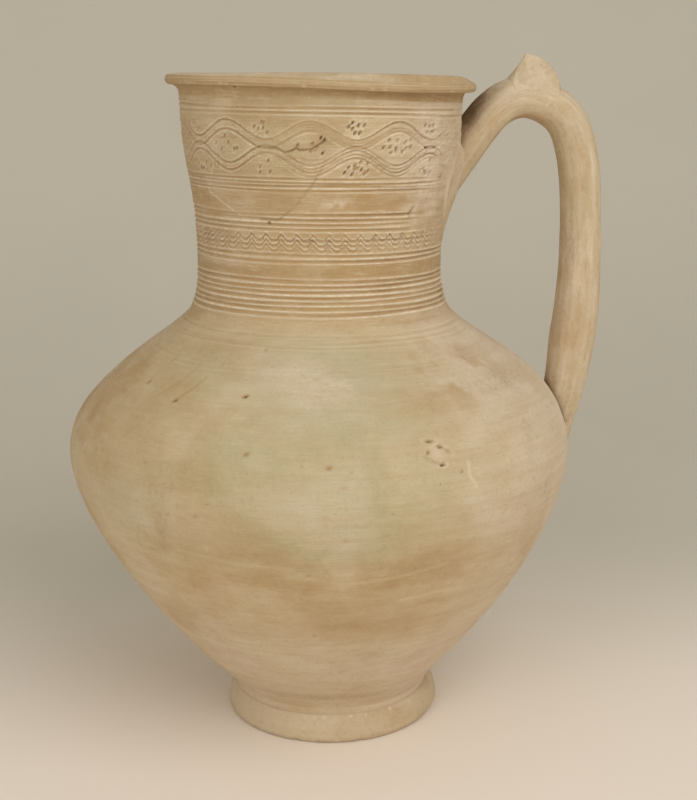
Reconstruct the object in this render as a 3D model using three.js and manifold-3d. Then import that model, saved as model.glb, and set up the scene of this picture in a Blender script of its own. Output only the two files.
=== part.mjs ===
// Ewer of unglazed buff clay: a thrown belly and shoulder on a disc foot, a flaring neck with an
// everted lip, and one rod handle with a pinched thumb rest. Each piece was made by itself and
// luted to the next with slip, and one sherd of the neck has been broken out and glued back.
//
// Millimetres, +Z up. The origin is on the vessel's axis, in the plane that it stands on.
// The handle is on +X, and the decorated front of the neck faces -Y.
import * as THREE from "three";
import { mergeVertices } from "three/addons/utils/BufferGeometryUtils.js";
import Module from "manifold-3d";

// Foot
const FOOT_RADIUS = 49.5; // widest point of the disc
const FOOT_TOP_RADIUS = 47;
const FOOT_HEIGHT = 13;
const FOOT_WIDEST = 0.4; // height of the widest point, as a share of the foot's height
const FOOT_EDGE = 2; // worn round the standing edge
const FOOT_OFFSET = 5; // the disc was luted on off centre, towards the handle

// Belly and shoulder
const BASE_RADIUS = 42; // flat underside of the belly, seated on the foot
const BELLY_RADIUS = 115; // at the joint between belly and shoulder
const BELLY_HEIGHT = 118; // from the foot to that joint
const BELLY_SLOPE = 45; // degrees from upright, where the belly leaves the foot
const BELLY_RISE = 0.77; // how far the belly keeps that slope, as a share of its height
const BELLY_ROUND = 0.11; // how far it runs upright below the joint, as a share of its height
const SHOULDER_HEIGHT = 63; // from that joint to the neck
const SHOULDER_ROUND = 0.53; // how far the shoulder keeps upright, as a share of its height
const SHOULDER_SLOPE = 40; // degrees from upright, where the shoulder meets the neck
const SHOULDER_RUN = 0.31; // how far it keeps that slope, as a share of its height
const BODY_WALL = 6;
const FLOOR = 8;
const FLOOR_FLAT = 0.6; // radius of the floor's flat middle, as a share of the underside's radius

// Neck and lip
const NECK_BASE_RADIUS = 59.5; // at the joint between shoulder and neck
const THROAT_RADIUS = 55.2;
const THROAT_RISE = 21; // from that joint to the narrowest point
const MOUTH_RADIUS = 62; // outside of the wall, just under the lip
const MOUTH_RISE = 72; // from the narrowest point to the lip
const NECK_WALL = 5.5;
const LIP_HEIGHT = 10; // from the wall to the crest of the lip
const LIP_OVERHANG = 7; // past the wall
const LIP_FALL = 0.5; // from the crest down to the outer edge
const LIP_EDGE = 4.4; // thickness of the outer edge
const LIP_INSIDE = 0.7; // from the crest in to the edge of the bore, as a share of the wall

// Sherd of the neck that has been glued back, as depths below the rim and degrees round the front.
// Zero degrees is -Y, and positive degrees run towards the handle.
const SHERD_LEFT = -30; // at the rim
const SHERD_RIGHT = 17; // at the rim
const SHERD_WIDEST = -58;
const SHERD_WIDEST_DEPTH = 48;
const SHERD_TIP_LEFT = -37.5;
const SHERD_TIP_RIGHT = -21.5;
const SHERD_TIP_DEPTH = 59;
const SHERD_BEND = -6.5; // on the right side
const SHERD_BEND_DEPTH = 43.5;
const SHERD_WIDEST_CUT = 2; // extra set-in of the glue line at the two sharper corners, as a factor
const SHERD_BEND_CUT = 1.5;

// Handle, by the axis of its bar
const HANDLE_ROOT_DROP = 30.5; // from the lip's root down to where the axis meets the neck
const HANDLE_ROOT_ANGLE = 52; // degrees that the bar climbs at, as it leaves the neck
const HANDLE_CROWN_OUT = 34.2; // from the root out to the crown
const HANDLE_CROWN_RISE = 31.8; // from the root up to the crown
const HANDLE_BACK_OUT = 6.6; // past the belly
const HANDLE_BACK_DROP = 69.3; // from the crown down to the furthest point
const HANDLE_TAIL_RISE = 14; // from the belly's joint up to where the axis enters the shoulder
const HANDLE_BAR = 18; // thickness of the bar at the neck and the crown
const HANDLE_BAR_LOW = 22; // thickness just above the shoulder
const HANDLE_TAIL_BAR = 16; // thickness of the pressed-down tail
const HANDLE_OVAL = 1.06; // width across the bar, as a share of its thickness
const BAR_FULLER = 0.5; // shares of the path where the bar starts to thicken and to thin
const BAR_THINNER = 0.8;

// Bends of the handle's axis between those points, as shares of the run and of the rise or drop
const NECK_BEND_RUN = 0.6; // from the root to the crown
const NECK_BEND_RISE = 0.86;
const CROWN_BEND_RUN = 0.6; // from the crown to the furthest point
const CROWN_BEND_DROP = 0.115;
const BACK_BEND_RUN = 0.86; // lower down on the same stretch
const BACK_BEND_DROP = 0.335;
const TAIL_BEND_RUN = 0.28; // from the furthest point to the tail
const TAIL_BEND_DROP = 0.59;

// Thumb rest
const THUMB_OUT = 3.2; // from the crown out to its middle
const THUMB_LENGTH = 22; // along the bar
const THUMB_RISE = 10; // above the bar
const THUMB_WIDTH = 19; // across the bar, at the root
const THUMB_TIP_WIDTH = 7;
const THUMB_LEAN = 4.6; // the tip leans towards the vessel
const THUMB_FLAT = 1.8; // along the top of the tip
const THUMB_TOE = 0.45; // where its straight side starts, as a share of the tip's height over the axis
const THUMB_HEEL = 0.35; // where its round side starts
const THUMB_SWELL_OUT = 0.8; // corner of the curve of the round side, as a share of half the length
const THUMB_SWELL_UP = 0.85; // and of the tip's height over the axis

// Luting clay pressed round the two ends of the handle: each egg-shaped lump reaches past the bar,
// stands proud of the vessel, and is sunk in the wall and cut away for the rest of its depth.
const LUTING_DEPTH = 18;
const UPPER_LUTING_PROUD = 5;
const UPPER_LUTING_ACROSS = 16.5; // past each side of the bar
const UPPER_LUTING_ALONG = 27; // past the bar, up and down the neck
const LOWER_LUTING_PROUD = 4.5;
const LOWER_LUTING_ACROSS = 9.3;
const LOWER_LUTING_ALONG = 15;

// Slip between pieces that are cut to each other
const SLIP = 0.3;

// Facets
const AROUND = 60;
const CURVE_STEPS = 12;
const BAR_SIDES = 16;
const BAR_STEPS = 40;
const LUMP_SIDES = 20;
const LUMP_RINGS = 12;
const MERGE_DISTANCE = 1e-4;

// Levels of the joints, from the bottom up
const bellyTop = FOOT_HEIGHT + BELLY_HEIGHT;
const neckFoot = bellyTop + SHOULDER_HEIGHT;
const throatLevel = neckFoot + THROAT_RISE;
const mouthLevel = throatLevel + MOUTH_RISE;
const rimLevel = mouthLevel + LIP_HEIGHT;

// Radius of the hollow at the two joints of the wall
const bellyBore = BELLY_RADIUS - BODY_WALL;
const neckBore = NECK_BASE_RADIUS - NECK_WALL;

const wasm = await Module();
wasm.setup();

const point = (x, y) => new THREE.Vector2(x, y);
const radians = THREE.MathUtils.degToRad;

// A closed mesh as a solid that can be cut.
function solidOf(geometry) {
  const bare = geometry.clone();
  bare.deleteAttribute("normal");
  bare.deleteAttribute("uv");
  const merged = mergeVertices(bare, MERGE_DISTANCE);
  const corners = merged.index.array;
  const kept = [];
  for (let i = 0; i < corners.length; i += 3) {
    const [a, b, c] = corners.slice(i, i + 3);
    if (a !== b && b !== c && c !== a) kept.push(a, b, c);
  }
  return new wasm.Manifold(
    new wasm.Mesh({
      numProp: 3,
      vertProperties: merged.attributes.position.array,
      triVerts: new Uint32Array(kept),
    }),
  );
}

function geometryOf(solid) {
  const mesh = solid.getMesh();
  const geometry = new THREE.BufferGeometry();
  geometry.setAttribute("position", new THREE.BufferAttribute(mesh.vertProperties, 3));
  geometry.setIndex(new THREE.BufferAttribute(mesh.triVerts, 1));
  geometry.computeVertexNormals();
  return geometry;
}

function solidFromTriangles(corners, triangles) {
  const geometry = new THREE.BufferGeometry();
  geometry.setAttribute("position", new THREE.Float32BufferAttribute(corners, 3));
  geometry.setIndex(triangles);
  return solidOf(geometry);
}

// A profile of radius and height, turned round the vessel's axis.
function turned(profile) {
  return new THREE.LatheGeometry(profile, AROUND).rotateX(Math.PI / 2);
}

// The profile moved sideways, square to itself: a positive distance goes outwards on a rising line.
function moved(profile, distance) {
  return profile.map((p, i) => {
    const before = profile[Math.max(i - 1, 0)];
    const after = profile[Math.min(i + 1, profile.length - 1)];
    const along = after.clone().sub(before).normalize();
    return point(p.x + along.y * distance, p.y - along.x * distance);
  });
}

// Outer lines of the thrown pieces, from the bottom up
const bellySlope = radians(BELLY_SLOPE);
const bellyLine = new THREE.CubicBezierCurve(
  point(BASE_RADIUS, FOOT_HEIGHT),
  point(
    BASE_RADIUS + BELLY_HEIGHT * BELLY_RISE * Math.sin(bellySlope),
    FOOT_HEIGHT + BELLY_HEIGHT * BELLY_RISE * Math.cos(bellySlope),
  ),
  point(BELLY_RADIUS, bellyTop - BELLY_HEIGHT * BELLY_ROUND),
  point(BELLY_RADIUS, bellyTop),
).getPoints(CURVE_STEPS);

const shoulderSlope = radians(SHOULDER_SLOPE);
const shoulderLine = new THREE.CubicBezierCurve(
  point(BELLY_RADIUS, bellyTop),
  point(BELLY_RADIUS, bellyTop + SHOULDER_HEIGHT * SHOULDER_ROUND),
  point(
    NECK_BASE_RADIUS + SHOULDER_HEIGHT * SHOULDER_RUN * Math.sin(shoulderSlope),
    neckFoot - SHOULDER_HEIGHT * SHOULDER_RUN * Math.cos(shoulderSlope),
  ),
  point(NECK_BASE_RADIUS, neckFoot),
).getPoints(CURVE_STEPS);

const neckLine = [
  ...new THREE.QuadraticBezierCurve(
    point(NECK_BASE_RADIUS, neckFoot),
    point(THROAT_RADIUS, neckFoot + THROAT_RISE / 3),
    point(THROAT_RADIUS, throatLevel),
  ).getPoints(CURVE_STEPS / 3),
  ...new THREE.CubicBezierCurve(
    point(THROAT_RADIUS, throatLevel),
    point(THROAT_RADIUS, throatLevel + MOUTH_RISE / 2),
    point(MOUTH_RADIUS, mouthLevel - MOUTH_RISE / 2),
    point(MOUTH_RADIUS, mouthLevel),
  )
    .getPoints(CURVE_STEPS / 2)
    .slice(1),
];

const outerLine = [...bellyLine, ...shoulderLine.slice(1), ...neckLine.slice(1)];

// The outside of the vessel, moved out by a distance, filled to the axis and carried up to the rim.
function vesselGrownBy(distance) {
  const outside = moved(outerLine, distance);
  const mouth = outside[outside.length - 1];
  return solidOf(
    turned([point(0, outside[0].y), ...outside, point(mouth.x, rimLevel), point(0, rimLevel)]),
  );
}

// Radius of the outside of the vessel at a height.
function outsideAt(height) {
  const i = outerLine.findIndex((p) => p.y >= height);
  const [low, high] = [outerLine[i - 1], outerLine[i]];
  return THREE.MathUtils.mapLinear(height, low.y, high.y, low.x, high.x);
}

// Disc foot, with its standing edge worn round and its top left flat for the belly.
function footDisc() {
  const edge = new THREE.QuadraticBezierCurve(
    point(FOOT_RADIUS - FOOT_EDGE, 0),
    point(FOOT_RADIUS, 0),
    point(FOOT_RADIUS, FOOT_EDGE),
  ).getPoints(CURVE_STEPS / 4);
  const side = new THREE.QuadraticBezierCurve(
    point(FOOT_RADIUS, FOOT_HEIGHT * FOOT_WIDEST),
    point(FOOT_RADIUS, FOOT_HEIGHT - FOOT_EDGE),
    point(FOOT_TOP_RADIUS, FOOT_HEIGHT),
  ).getPoints(CURVE_STEPS / 3);
  return turned([point(0, 0), ...edge, ...side, point(0, FOOT_HEIGHT)]);
}

// Bowl of the belly: its flat underside sits on the foot, and its open edge carries the shoulder.
function lowerBody() {
  const floorTop = FOOT_HEIGHT + FLOOR;
  const inside = moved(bellyLine, -BODY_WALL).filter(
    (p) => p.y > floorTop + BODY_WALL / 2 && p.y < bellyTop,
  );
  const corner = new THREE.QuadraticBezierCurve(
    inside[0],
    point(inside[0].x - (inside[0].y - floorTop), floorTop),
    point(BASE_RADIUS * FLOOR_FLAT, floorTop),
  ).getPoints(CURVE_STEPS / 3);
  return turned([
    point(0, FOOT_HEIGHT),
    ...bellyLine,
    point(bellyBore, bellyTop),
    ...inside.slice(1).reverse(),
    ...corner,
    point(0, floorTop),
  ]);
}

// Shoulder: a thrown dome, open at the top, between the belly's edge and the neck's foot.
function shoulder() {
  const inside = moved(shoulderLine, -BODY_WALL).filter((p) => p.x > neckBore && p.y > bellyTop);
  return turned([
    ...shoulderLine,
    point(neckBore, neckFoot),
    ...inside.reverse(),
    point(bellyBore, bellyTop),
    shoulderLine[0],
  ]);
}

// Neck and its everted lip, thrown in one. The lip is a nearly level flange with a rounded edge.
function wholeNeck() {
  const bore = moved(neckLine, -NECK_WALL);
  bore[0] = point(neckBore, neckFoot);
  const edgeRadius = MOUTH_RADIUS + LIP_OVERHANG;
  const edgeTop = rimLevel - LIP_FALL;
  const lip = [
    ...new THREE.QuadraticBezierCurve(
      point(MOUTH_RADIUS, mouthLevel),
      point(MOUTH_RADIUS, edgeTop - LIP_EDGE),
      point(edgeRadius - LIP_EDGE / 2, edgeTop - LIP_EDGE),
    )
      .getPoints(CURVE_STEPS / 3)
      .slice(1),
    ...new THREE.CubicBezierCurve(
      point(edgeRadius - LIP_EDGE / 2, edgeTop - LIP_EDGE),
      point(edgeRadius + LIP_EDGE / 6, edgeTop - LIP_EDGE),
      point(edgeRadius + LIP_EDGE / 6, edgeTop),
      point(edgeRadius - LIP_EDGE / 2, edgeTop),
    )
      .getPoints(CURVE_STEPS / 3)
      .slice(1),
    point(MOUTH_RADIUS, rimLevel),
    point(MOUTH_RADIUS - NECK_WALL * LIP_INSIDE, rimLevel - LIP_EDGE / 2),
  ];
  return turned([...neckLine, ...lip, ...bore.reverse(), neckLine[0]]);
}

// A wedge that holds the glued sherd, cut square to the wall, and set in all round by a distance.
function sherdWedge(setIn) {
  const turn = THREE.MathUtils.radToDeg(setIn / THROAT_RADIUS);
  const above = rimLevel + NECK_WALL;
  const outline = [
    point(SHERD_LEFT + turn, above),
    point(SHERD_WIDEST + turn * SHERD_WIDEST_CUT, rimLevel - SHERD_WIDEST_DEPTH),
    point(SHERD_TIP_LEFT + turn, rimLevel - SHERD_TIP_DEPTH + setIn),
    point(SHERD_TIP_RIGHT - turn, rimLevel - SHERD_TIP_DEPTH + setIn),
    point(SHERD_BEND - turn * SHERD_BEND_CUT, rimLevel - SHERD_BEND_DEPTH),
    point(SHERD_RIGHT - turn, above),
  ];
  const near = (THROAT_RADIUS - NECK_WALL) / 2;
  const far = (MOUTH_RADIUS + LIP_OVERHANG) * 2;
  const corners = [near, far].flatMap((radius) =>
    outline.flatMap(({ x, y }) => [radius * Math.sin(radians(x)), -radius * Math.cos(radians(x)), y]),
  );
  const count = outline.length;
  const triangles = THREE.ShapeUtils.triangulateShape(outline, []).flatMap(([a, b, c]) => [
    ...[a, c, b],
    ...[a + count, b + count, c + count],
  ]);
  for (let i = 0; i < count; i++) {
    const next = (i + 1) % count;
    triangles.push(i, next, next + count, i, next + count, i + count);
  }
  return solidFromTriangles(corners, triangles);
}

// Path of the handle's axis, from inside the neck's wall to inside the shoulder's
const rootHeight = mouthLevel - HANDLE_ROOT_DROP;
const rootRadius = outsideAt(rootHeight);
const rootAngle = radians(HANDLE_ROOT_ANGLE);
const crownReach = rootRadius + HANDLE_CROWN_OUT;
const crownHeight = rootHeight + HANDLE_CROWN_RISE;
const backReach = BELLY_RADIUS + HANDLE_BACK_OUT;
const backHeight = crownHeight - HANDLE_BACK_DROP;
const tailHeight = bellyTop + HANDLE_TAIL_RISE;
const tailRadius = outsideAt(tailHeight);
const backRun = backReach - crownReach;
const tailRun = backReach - tailRadius;
const tailDrop = backHeight - tailHeight;
const handlePath = new THREE.CatmullRomCurve3(
  [
    [rootRadius - HANDLE_BAR * Math.cos(rootAngle), rootHeight - HANDLE_BAR * Math.sin(rootAngle)],
    [rootRadius, rootHeight],
    [rootRadius + HANDLE_CROWN_OUT * NECK_BEND_RUN, rootHeight + HANDLE_CROWN_RISE * NECK_BEND_RISE],
    [crownReach, crownHeight],
    [crownReach + backRun * CROWN_BEND_RUN, crownHeight - HANDLE_BACK_DROP * CROWN_BEND_DROP],
    [crownReach + backRun * BACK_BEND_RUN, crownHeight - HANDLE_BACK_DROP * BACK_BEND_DROP],
    [backReach, backHeight],
    [backReach - tailRun * TAIL_BEND_RUN, backHeight - tailDrop * TAIL_BEND_DROP],
    [tailRadius, tailHeight],
    [tailRadius - HANDLE_TAIL_BAR / 2, tailHeight - HANDLE_TAIL_BAR],
  ].map(([reach, height]) => new THREE.Vector3(reach, 0, height)),
);

// Half the bar's thickness along the path: even over the crown, fuller lower down, then pressed thin.
function barRadius(share) {
  const fuller = THREE.MathUtils.smoothstep(share, BAR_FULLER, BAR_THINNER);
  const thinner = THREE.MathUtils.smoothstep(share, BAR_THINNER, 1);
  const full = THREE.MathUtils.lerp(HANDLE_BAR, HANDLE_BAR_LOW, fuller);
  return THREE.MathUtils.lerp(full, HANDLE_TAIL_BAR, thinner) / 2;
}

// The bar as one closed tube of oval rings, moved out by a distance.
function barGrownBy(distance) {
  const corners = [];
  const triangles = [];
  const ring = (step, side) => step * BAR_SIDES + (side % BAR_SIDES);
  for (let step = 0; step <= BAR_STEPS; step++) {
    const share = step / BAR_STEPS;
    const centre = handlePath.getPointAt(share);
    const along = handlePath.getTangentAt(share);
    const radius = barRadius(share) + distance;
    for (let side = 0; side < BAR_SIDES; side++) {
      const turn = (2 * Math.PI * side) / BAR_SIDES;
      const out = radius * Math.cos(turn);
      const across = radius * HANDLE_OVAL * Math.sin(turn);
      corners.push(centre.x + along.z * out, across, centre.z - along.x * out);
    }
  }
  for (let step = 0; step < BAR_STEPS; step++) {
    for (let side = 0; side < BAR_SIDES; side++) {
      triangles.push(ring(step, side), ring(step, side + 1), ring(step + 1, side + 1));
      triangles.push(ring(step, side), ring(step + 1, side + 1), ring(step + 1, side));
    }
  }
  for (let side = 1; side < BAR_SIDES - 1; side++) {
    triangles.push(ring(0, 0), ring(0, side + 1), ring(0, side));
    triangles.push(ring(BAR_STEPS, 0), ring(BAR_STEPS, side), ring(BAR_STEPS, side + 1));
  }
  return solidFromTriangles(corners, triangles);
}

const vessel = vesselGrownBy(SLIP);
const neckSolid = solidOf(wholeNeck());
const bar = barGrownBy(0);
const barSpace = barGrownBy(SLIP);

// Thumb rest: a pinched fin, straight on the vessel's side and round on the other, thinner at the tip.
// It is drawn from the bar's axis up, and the bar is cut out of it.
function thumbRest() {
  const half = THUMB_LENGTH / 2;
  const tip = HANDLE_BAR / 2 + THUMB_RISE;
  const outline = new THREE.Shape();
  outline.moveTo(-half, 0);
  outline.lineTo(half, 0);
  outline.lineTo(half, tip * THUMB_HEEL);
  outline.quadraticCurveTo(half * THUMB_SWELL_OUT, tip * THUMB_SWELL_UP, THUMB_FLAT - THUMB_LEAN, tip);
  outline.lineTo(-THUMB_LEAN, tip);
  outline.lineTo(-half, tip * THUMB_TOE);
  const fin = new THREE.ExtrudeGeometry(outline, {
    depth: THUMB_WIDTH,
    bevelEnabled: false,
    curveSegments: CURVE_STEPS / 2,
  });
  fin.translate(0, 0, -THUMB_WIDTH / 2).rotateX(Math.PI / 2);
  const place = fin.attributes.position;
  for (let i = 0; i < place.count; i++) {
    const share = place.getZ(i) / tip;
    const width = THREE.MathUtils.lerp(1, THUMB_TIP_WIDTH / THUMB_WIDTH, share ** 2);
    place.setY(i, place.getY(i) * width);
  }
  return solidOf(fin.translate(crownReach + THUMB_OUT, 0, crownHeight)).subtract(barSpace);
}

// A lump of luting clay on the vessel, round the end of the bar that meets the vessel at a height.
function luting(height, thickness, proud, pastAcross, pastAlong) {
  const across = (thickness * HANDLE_OVAL) / 2 + pastAcross;
  const along = thickness / 2 + pastAlong;
  const sunk = LUTING_DEPTH - proud;
  const step = along / 2;
  const lean = Math.atan2(outsideAt(height + step) - outsideAt(height - step), 2 * step);
  const lump = new THREE.SphereGeometry(1, LUMP_SIDES, LUMP_RINGS).rotateX(Math.PI / 2);
  lump.scale(LUTING_DEPTH, across, along).rotateY(lean);
  lump.translate(outsideAt(height) - sunk * Math.cos(lean), 0, height + sunk * Math.sin(lean));
  return solidOf(lump).subtract(vessel).subtract(barSpace);
}

const upperLuting = luting(
  rootHeight,
  HANDLE_BAR,
  UPPER_LUTING_PROUD,
  UPPER_LUTING_ACROSS,
  UPPER_LUTING_ALONG,
);
const lowerLuting = luting(
  tailHeight,
  HANDLE_BAR_LOW,
  LOWER_LUTING_PROUD,
  LOWER_LUTING_ACROSS,
  LOWER_LUTING_ALONG,
);

const pieces = [
  ["foot_disc", 0xc4a477, footDisc().translate(FOOT_OFFSET, 0, 0)],
  ["lower_body", 0xc0a47a, lowerBody()],
  ["shoulder", 0xbfa87c, shoulder()],
  ["neck", 0xc2a274, geometryOf(neckSolid.subtract(sherdWedge(0)))],
  ["neck_sherd", 0xbea671, geometryOf(neckSolid.intersect(sherdWedge(SLIP)))],
  ["handle", 0xc0a47a, geometryOf(bar.subtract(vessel))],
  ["thumb_rest", 0xc8ab85, geometryOf(thumbRest())],
  ["upper_luting", 0xc8aa84, geometryOf(upperLuting)],
  ["lower_luting", 0xc4a67c, geometryOf(lowerLuting)],
];

const ewer = new THREE.Group();
for (const [name, color, geometry] of pieces) {
  const unglazed = new THREE.MeshStandardMaterial({ color, roughness: 0.92, metalness: 0 });
  const mesh = new THREE.Mesh(geometry, unglazed);
  mesh.name = name;
  ewer.add(mesh);
}

export default ewer;
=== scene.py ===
"""An unglazed clay ewer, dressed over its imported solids: thrown walls that lean a little, an incised and
combed neck with one sherd glued back, a wiped rod handle, and buff clay with green, ochre and pink patches.

Lengths are in millimetres until a piece is built in metres. Angles are degrees round the vessel's axis:
0 is the decorated front, on -Y, and 90 is the handle, on +X.
"""
import math

import bpy
import numpy as np
from mathutils import Matrix, Vector


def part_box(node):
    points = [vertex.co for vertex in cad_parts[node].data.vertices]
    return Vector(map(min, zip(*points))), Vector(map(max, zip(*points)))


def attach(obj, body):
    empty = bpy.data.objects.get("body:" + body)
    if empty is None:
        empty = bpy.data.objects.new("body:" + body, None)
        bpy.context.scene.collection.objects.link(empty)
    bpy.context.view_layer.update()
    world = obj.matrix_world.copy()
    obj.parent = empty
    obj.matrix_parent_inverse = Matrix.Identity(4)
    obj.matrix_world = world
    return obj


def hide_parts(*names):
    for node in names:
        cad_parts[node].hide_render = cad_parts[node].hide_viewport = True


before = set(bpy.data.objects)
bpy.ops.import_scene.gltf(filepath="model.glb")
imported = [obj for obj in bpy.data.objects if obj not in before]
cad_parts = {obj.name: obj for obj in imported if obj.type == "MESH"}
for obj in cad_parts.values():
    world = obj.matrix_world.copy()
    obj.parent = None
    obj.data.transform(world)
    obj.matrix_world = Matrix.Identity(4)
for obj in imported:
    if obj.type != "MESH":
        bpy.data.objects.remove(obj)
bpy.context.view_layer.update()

MM = 0.001


def span(node):
    """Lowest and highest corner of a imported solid, in millimetres."""
    low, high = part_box(node)
    return np.array(low) / MM, np.array(high) / MM


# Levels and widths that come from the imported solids
foot_low, foot_high = span("foot_disc")
FOOT_TOP = foot_high[2]
FOOT_RADIUS = (foot_high[1] - foot_low[1]) / 2
FOOT_OFFSET = (foot_high[0] + foot_low[0]) / 2
BELLY_RADIUS = span("lower_body")[1][1]
BELLY_TOP = span("lower_body")[1][2]
NECK_FOOT = span("shoulder")[1][2]
LIP_RADIUS = span("neck")[1][1]
RIM = span("neck")[1][2]
SHERD_TIP = span("neck_sherd")[0][2]

# Section of the foot
FOOT_EDGE = 2  # worn round the standing edge
FOOT_TOP_RADIUS = 46.6
FOOT_BULGE = 1.8  # the disc is pushed out towards the handle

# Section of the belly and the shoulder
BASE_RADIUS = 42
BELLY_SLOPE = 45  # degrees from upright, where the belly leaves the foot
BELLY_RUN = 91  # how far it keeps that slope
BELLY_ROUND = 13  # how far it runs upright below its widest line
SHOULDER_ROUND = 33.4  # how far the shoulder runs upright above that line
SHOULDER_SLOPE = 40  # degrees from upright, where the shoulder meets the neck
SHOULDER_RUN = 19.5
WAIST_FILLET = 4.5  # clay pressed into the corner above the foot
WAIST_FADE = 3
BODY_WALL = 6
FLOOR = 8

# Section of the neck and the lip
NECK_BASE_RADIUS = 59.5
THROAT_RADIUS = 55.2
THROAT_RISE = 21
MOUTH_RADIUS = 63
MOUTH_FLARE = 1.2  # how much of that comes just under the lip
LIP_HEIGHT = 10
LIP_FALL = 0.5  # from the crest down to the outer edge
LIP_EDGE = 4.4  # thickness of the outer edge
LIP_CREST = 0.6  # from the outside of the wall in to the crest
NECK_WALL = 5.5

# How far the thrown clay is from true
SWAY_LOW = 2.3  # the belly leans towards the handle
SWAY_WAIST = 2.4  # and its base was pressed that much further, to meet the foot
SWAY_SHOULDER = 1.8
SWAY_MOUTH = 0.9
NECK_TILT = math.tan(math.radians(1.3))  # down towards the handle and towards the front
LIP_LIFT_FRONT, LIP_LIFT_SIDE = 1.1, 0.45  # how far the lip is bent back from that tilt
LIP_DROOP = 2.3  # the lip hangs at the front right
CREST_LIFT = 0.9  # and its crest is drawn up beside the handle

# Break lines round the glued sherd: heights and angles, with the lines let out below the sherd's tip
LEFT_BREAK = ((194, -57), (222, -57), (SHERD_TIP, -38), (249, -58.5), (268, -47), (288, -38), (298, -34))
RIGHT_BREAK = ((194, 4), (222, 4), (SHERD_TIP, -22), (244, -14.5), (253.5, -7.2), (272, 3), (298, 13))

# Incised ornament of the neck, by heights
LIP_LINES = (284.2, 282.0)
FRIEZE_LINES = (255.5, 253.9, 252.4, 250.9)
MIDDLE_LINES = (240.5, 238.6, 236.5, 234.4)
ZIGZAG_LINES = (230.7, 228.5, 226.5)
THROAT_LINES = (223.5, 221.3)
COMB_TOP, COMB_PITCH, COMB_TEETH = 212.6, 2.25, 7
UPPER_WAVE, LOWER_WAVE = 275.4, 262.4  # middles of the two waves
UPPER_SWING, LOWER_SWING = 3.7, -3.8
UPPER_TEETH, UPPER_BOLD = (0, -1.2, -2.4, -3.6), (0, -3.6)  # teeth of the comb, and those that bite most
LOWER_TEETH, LOWER_BOLD = (2.9, 1.4, 0, -1.5), (2.9, 0)
MEDALLION = -7.9  # angle of the middle of one lens between the two waves
WAVE_PITCH = 34.7
ZIGZAG_COUNT = 51
ZIGZAG_SWING = 1.25
HANDLE_SIDE = 90

# Fineness of the meshes
BODY_COLUMNS = 620
BODY_STEP = 1.0
SHOULDER_STEP = 0.75
INNER_COLUMNS = 160
INNER_STEP = 3.0
NECK_STEP = 0.48
FOOT_COLUMNS = 360
FOOT_STEP = 0.8
SHERD_COLUMNS = 130
REST_COLUMNS = 300
FRONT_DENSE = 0.42  # how much closer the columns are in front than behind


# Small helpers


def unit(value):
    """The value, kept between 0 and 1."""
    return np.clip(value, 0, 1)


def ramp(low, high, value):
    """0 below low, 1 above high, and smooth between."""
    part = unit((value - low) / (high - low))
    return part * part * (3 - 2 * part)


def hill(value, width):
    return np.exp(-((value / width) ** 2))


def band(value, low, full, fade, end):
    """1 from full to fade, falling smoothly to 0 at low and at end."""
    return ramp(low, full, value) * (1 - ramp(fade, end, value))


def from_angle(turn, angle):
    """Signed degrees from an angle, the short way round."""
    return (turn - angle + 180) % 360 - 180


def grain(points, size, seed):
    """Smooth noise between -1 and 1, in lumps of about the given size."""
    cell = points / size
    base = np.floor(cell).astype(np.int64)
    part = cell - base
    part = part * part * (3 - 2 * part)
    total = 0
    for corner in np.ndindex(2, 2, 2):
        key = (base + corner) @ np.array([73856093, 19349663, 83492791]) + seed * 6542989
        key = (key ^ (key >> 13)) * 1274126177
        value = ((key ^ (key >> 16)) & 0xFFFF) / 32767.5 - 1
        total = total + value * np.prod(np.where(corner, part, 1 - part), axis=-1)
    return total


def cloud(points, size, seed):
    """Noise with finer noise on it."""
    return sum(grain(points, size / 2**i, seed + i) / 2**i for i in range(3))


def bezier(points, count=60):
    at = np.linspace(0, 1, count)[:, None]
    rows = [np.array(p, float) + 0 * at for p in points]
    while len(rows) > 1:
        rows = [a + (b - a) * at for a, b in zip(rows, rows[1:])]
    return rows[0]


def between(at, known, rows):
    """Rows at some places, between rows at known places."""
    return np.stack([np.interp(at, known, column) for column in rows.T], 1)


def lengths(line):
    """How far along a line each of its points is."""
    return np.r_[0, np.cumsum(np.linalg.norm(np.diff(line, axis=0), axis=1))]


def spaced(line, count):
    """The same line, as a number of evenly spaced points."""
    length = lengths(line)
    return between(np.linspace(0, length[-1], count), length, line)


def even(line, step):
    """The same line, with points about a step apart."""
    return spaced(line, max(round(lengths(line)[-1] / step), 2) + 1)


def directions(line):
    """Unit vectors along a line."""
    along = np.gradient(line, axis=0)
    return along / np.linalg.norm(along, axis=1, keepdims=True)


def outward(section):
    """Normals of a section line of radius and height, to its right as it climbs."""
    along = directions(section)
    return np.stack([along[:, 1], -along[:, 0]], 1)


def split(line, height):
    """A line that climbs or falls through a height, as its two parts."""
    above = line[:, 1] >= height
    i = int(np.argmax(above != above[0]))
    low, high = line[i - 1], line[i]
    point = low + (high - low) * (height - low[1]) / (high[1] - low[1])
    return np.vstack([line[:i], point]), np.vstack([point, line[i:]])


# Section lines of the vessel, from the bottom up


def slanted(radius, height, run, slope):
    """The end of a straight run from a point, at a slope from upright."""
    return radius + run * math.sin(math.radians(slope)), height + run * math.cos(math.radians(slope))


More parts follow.
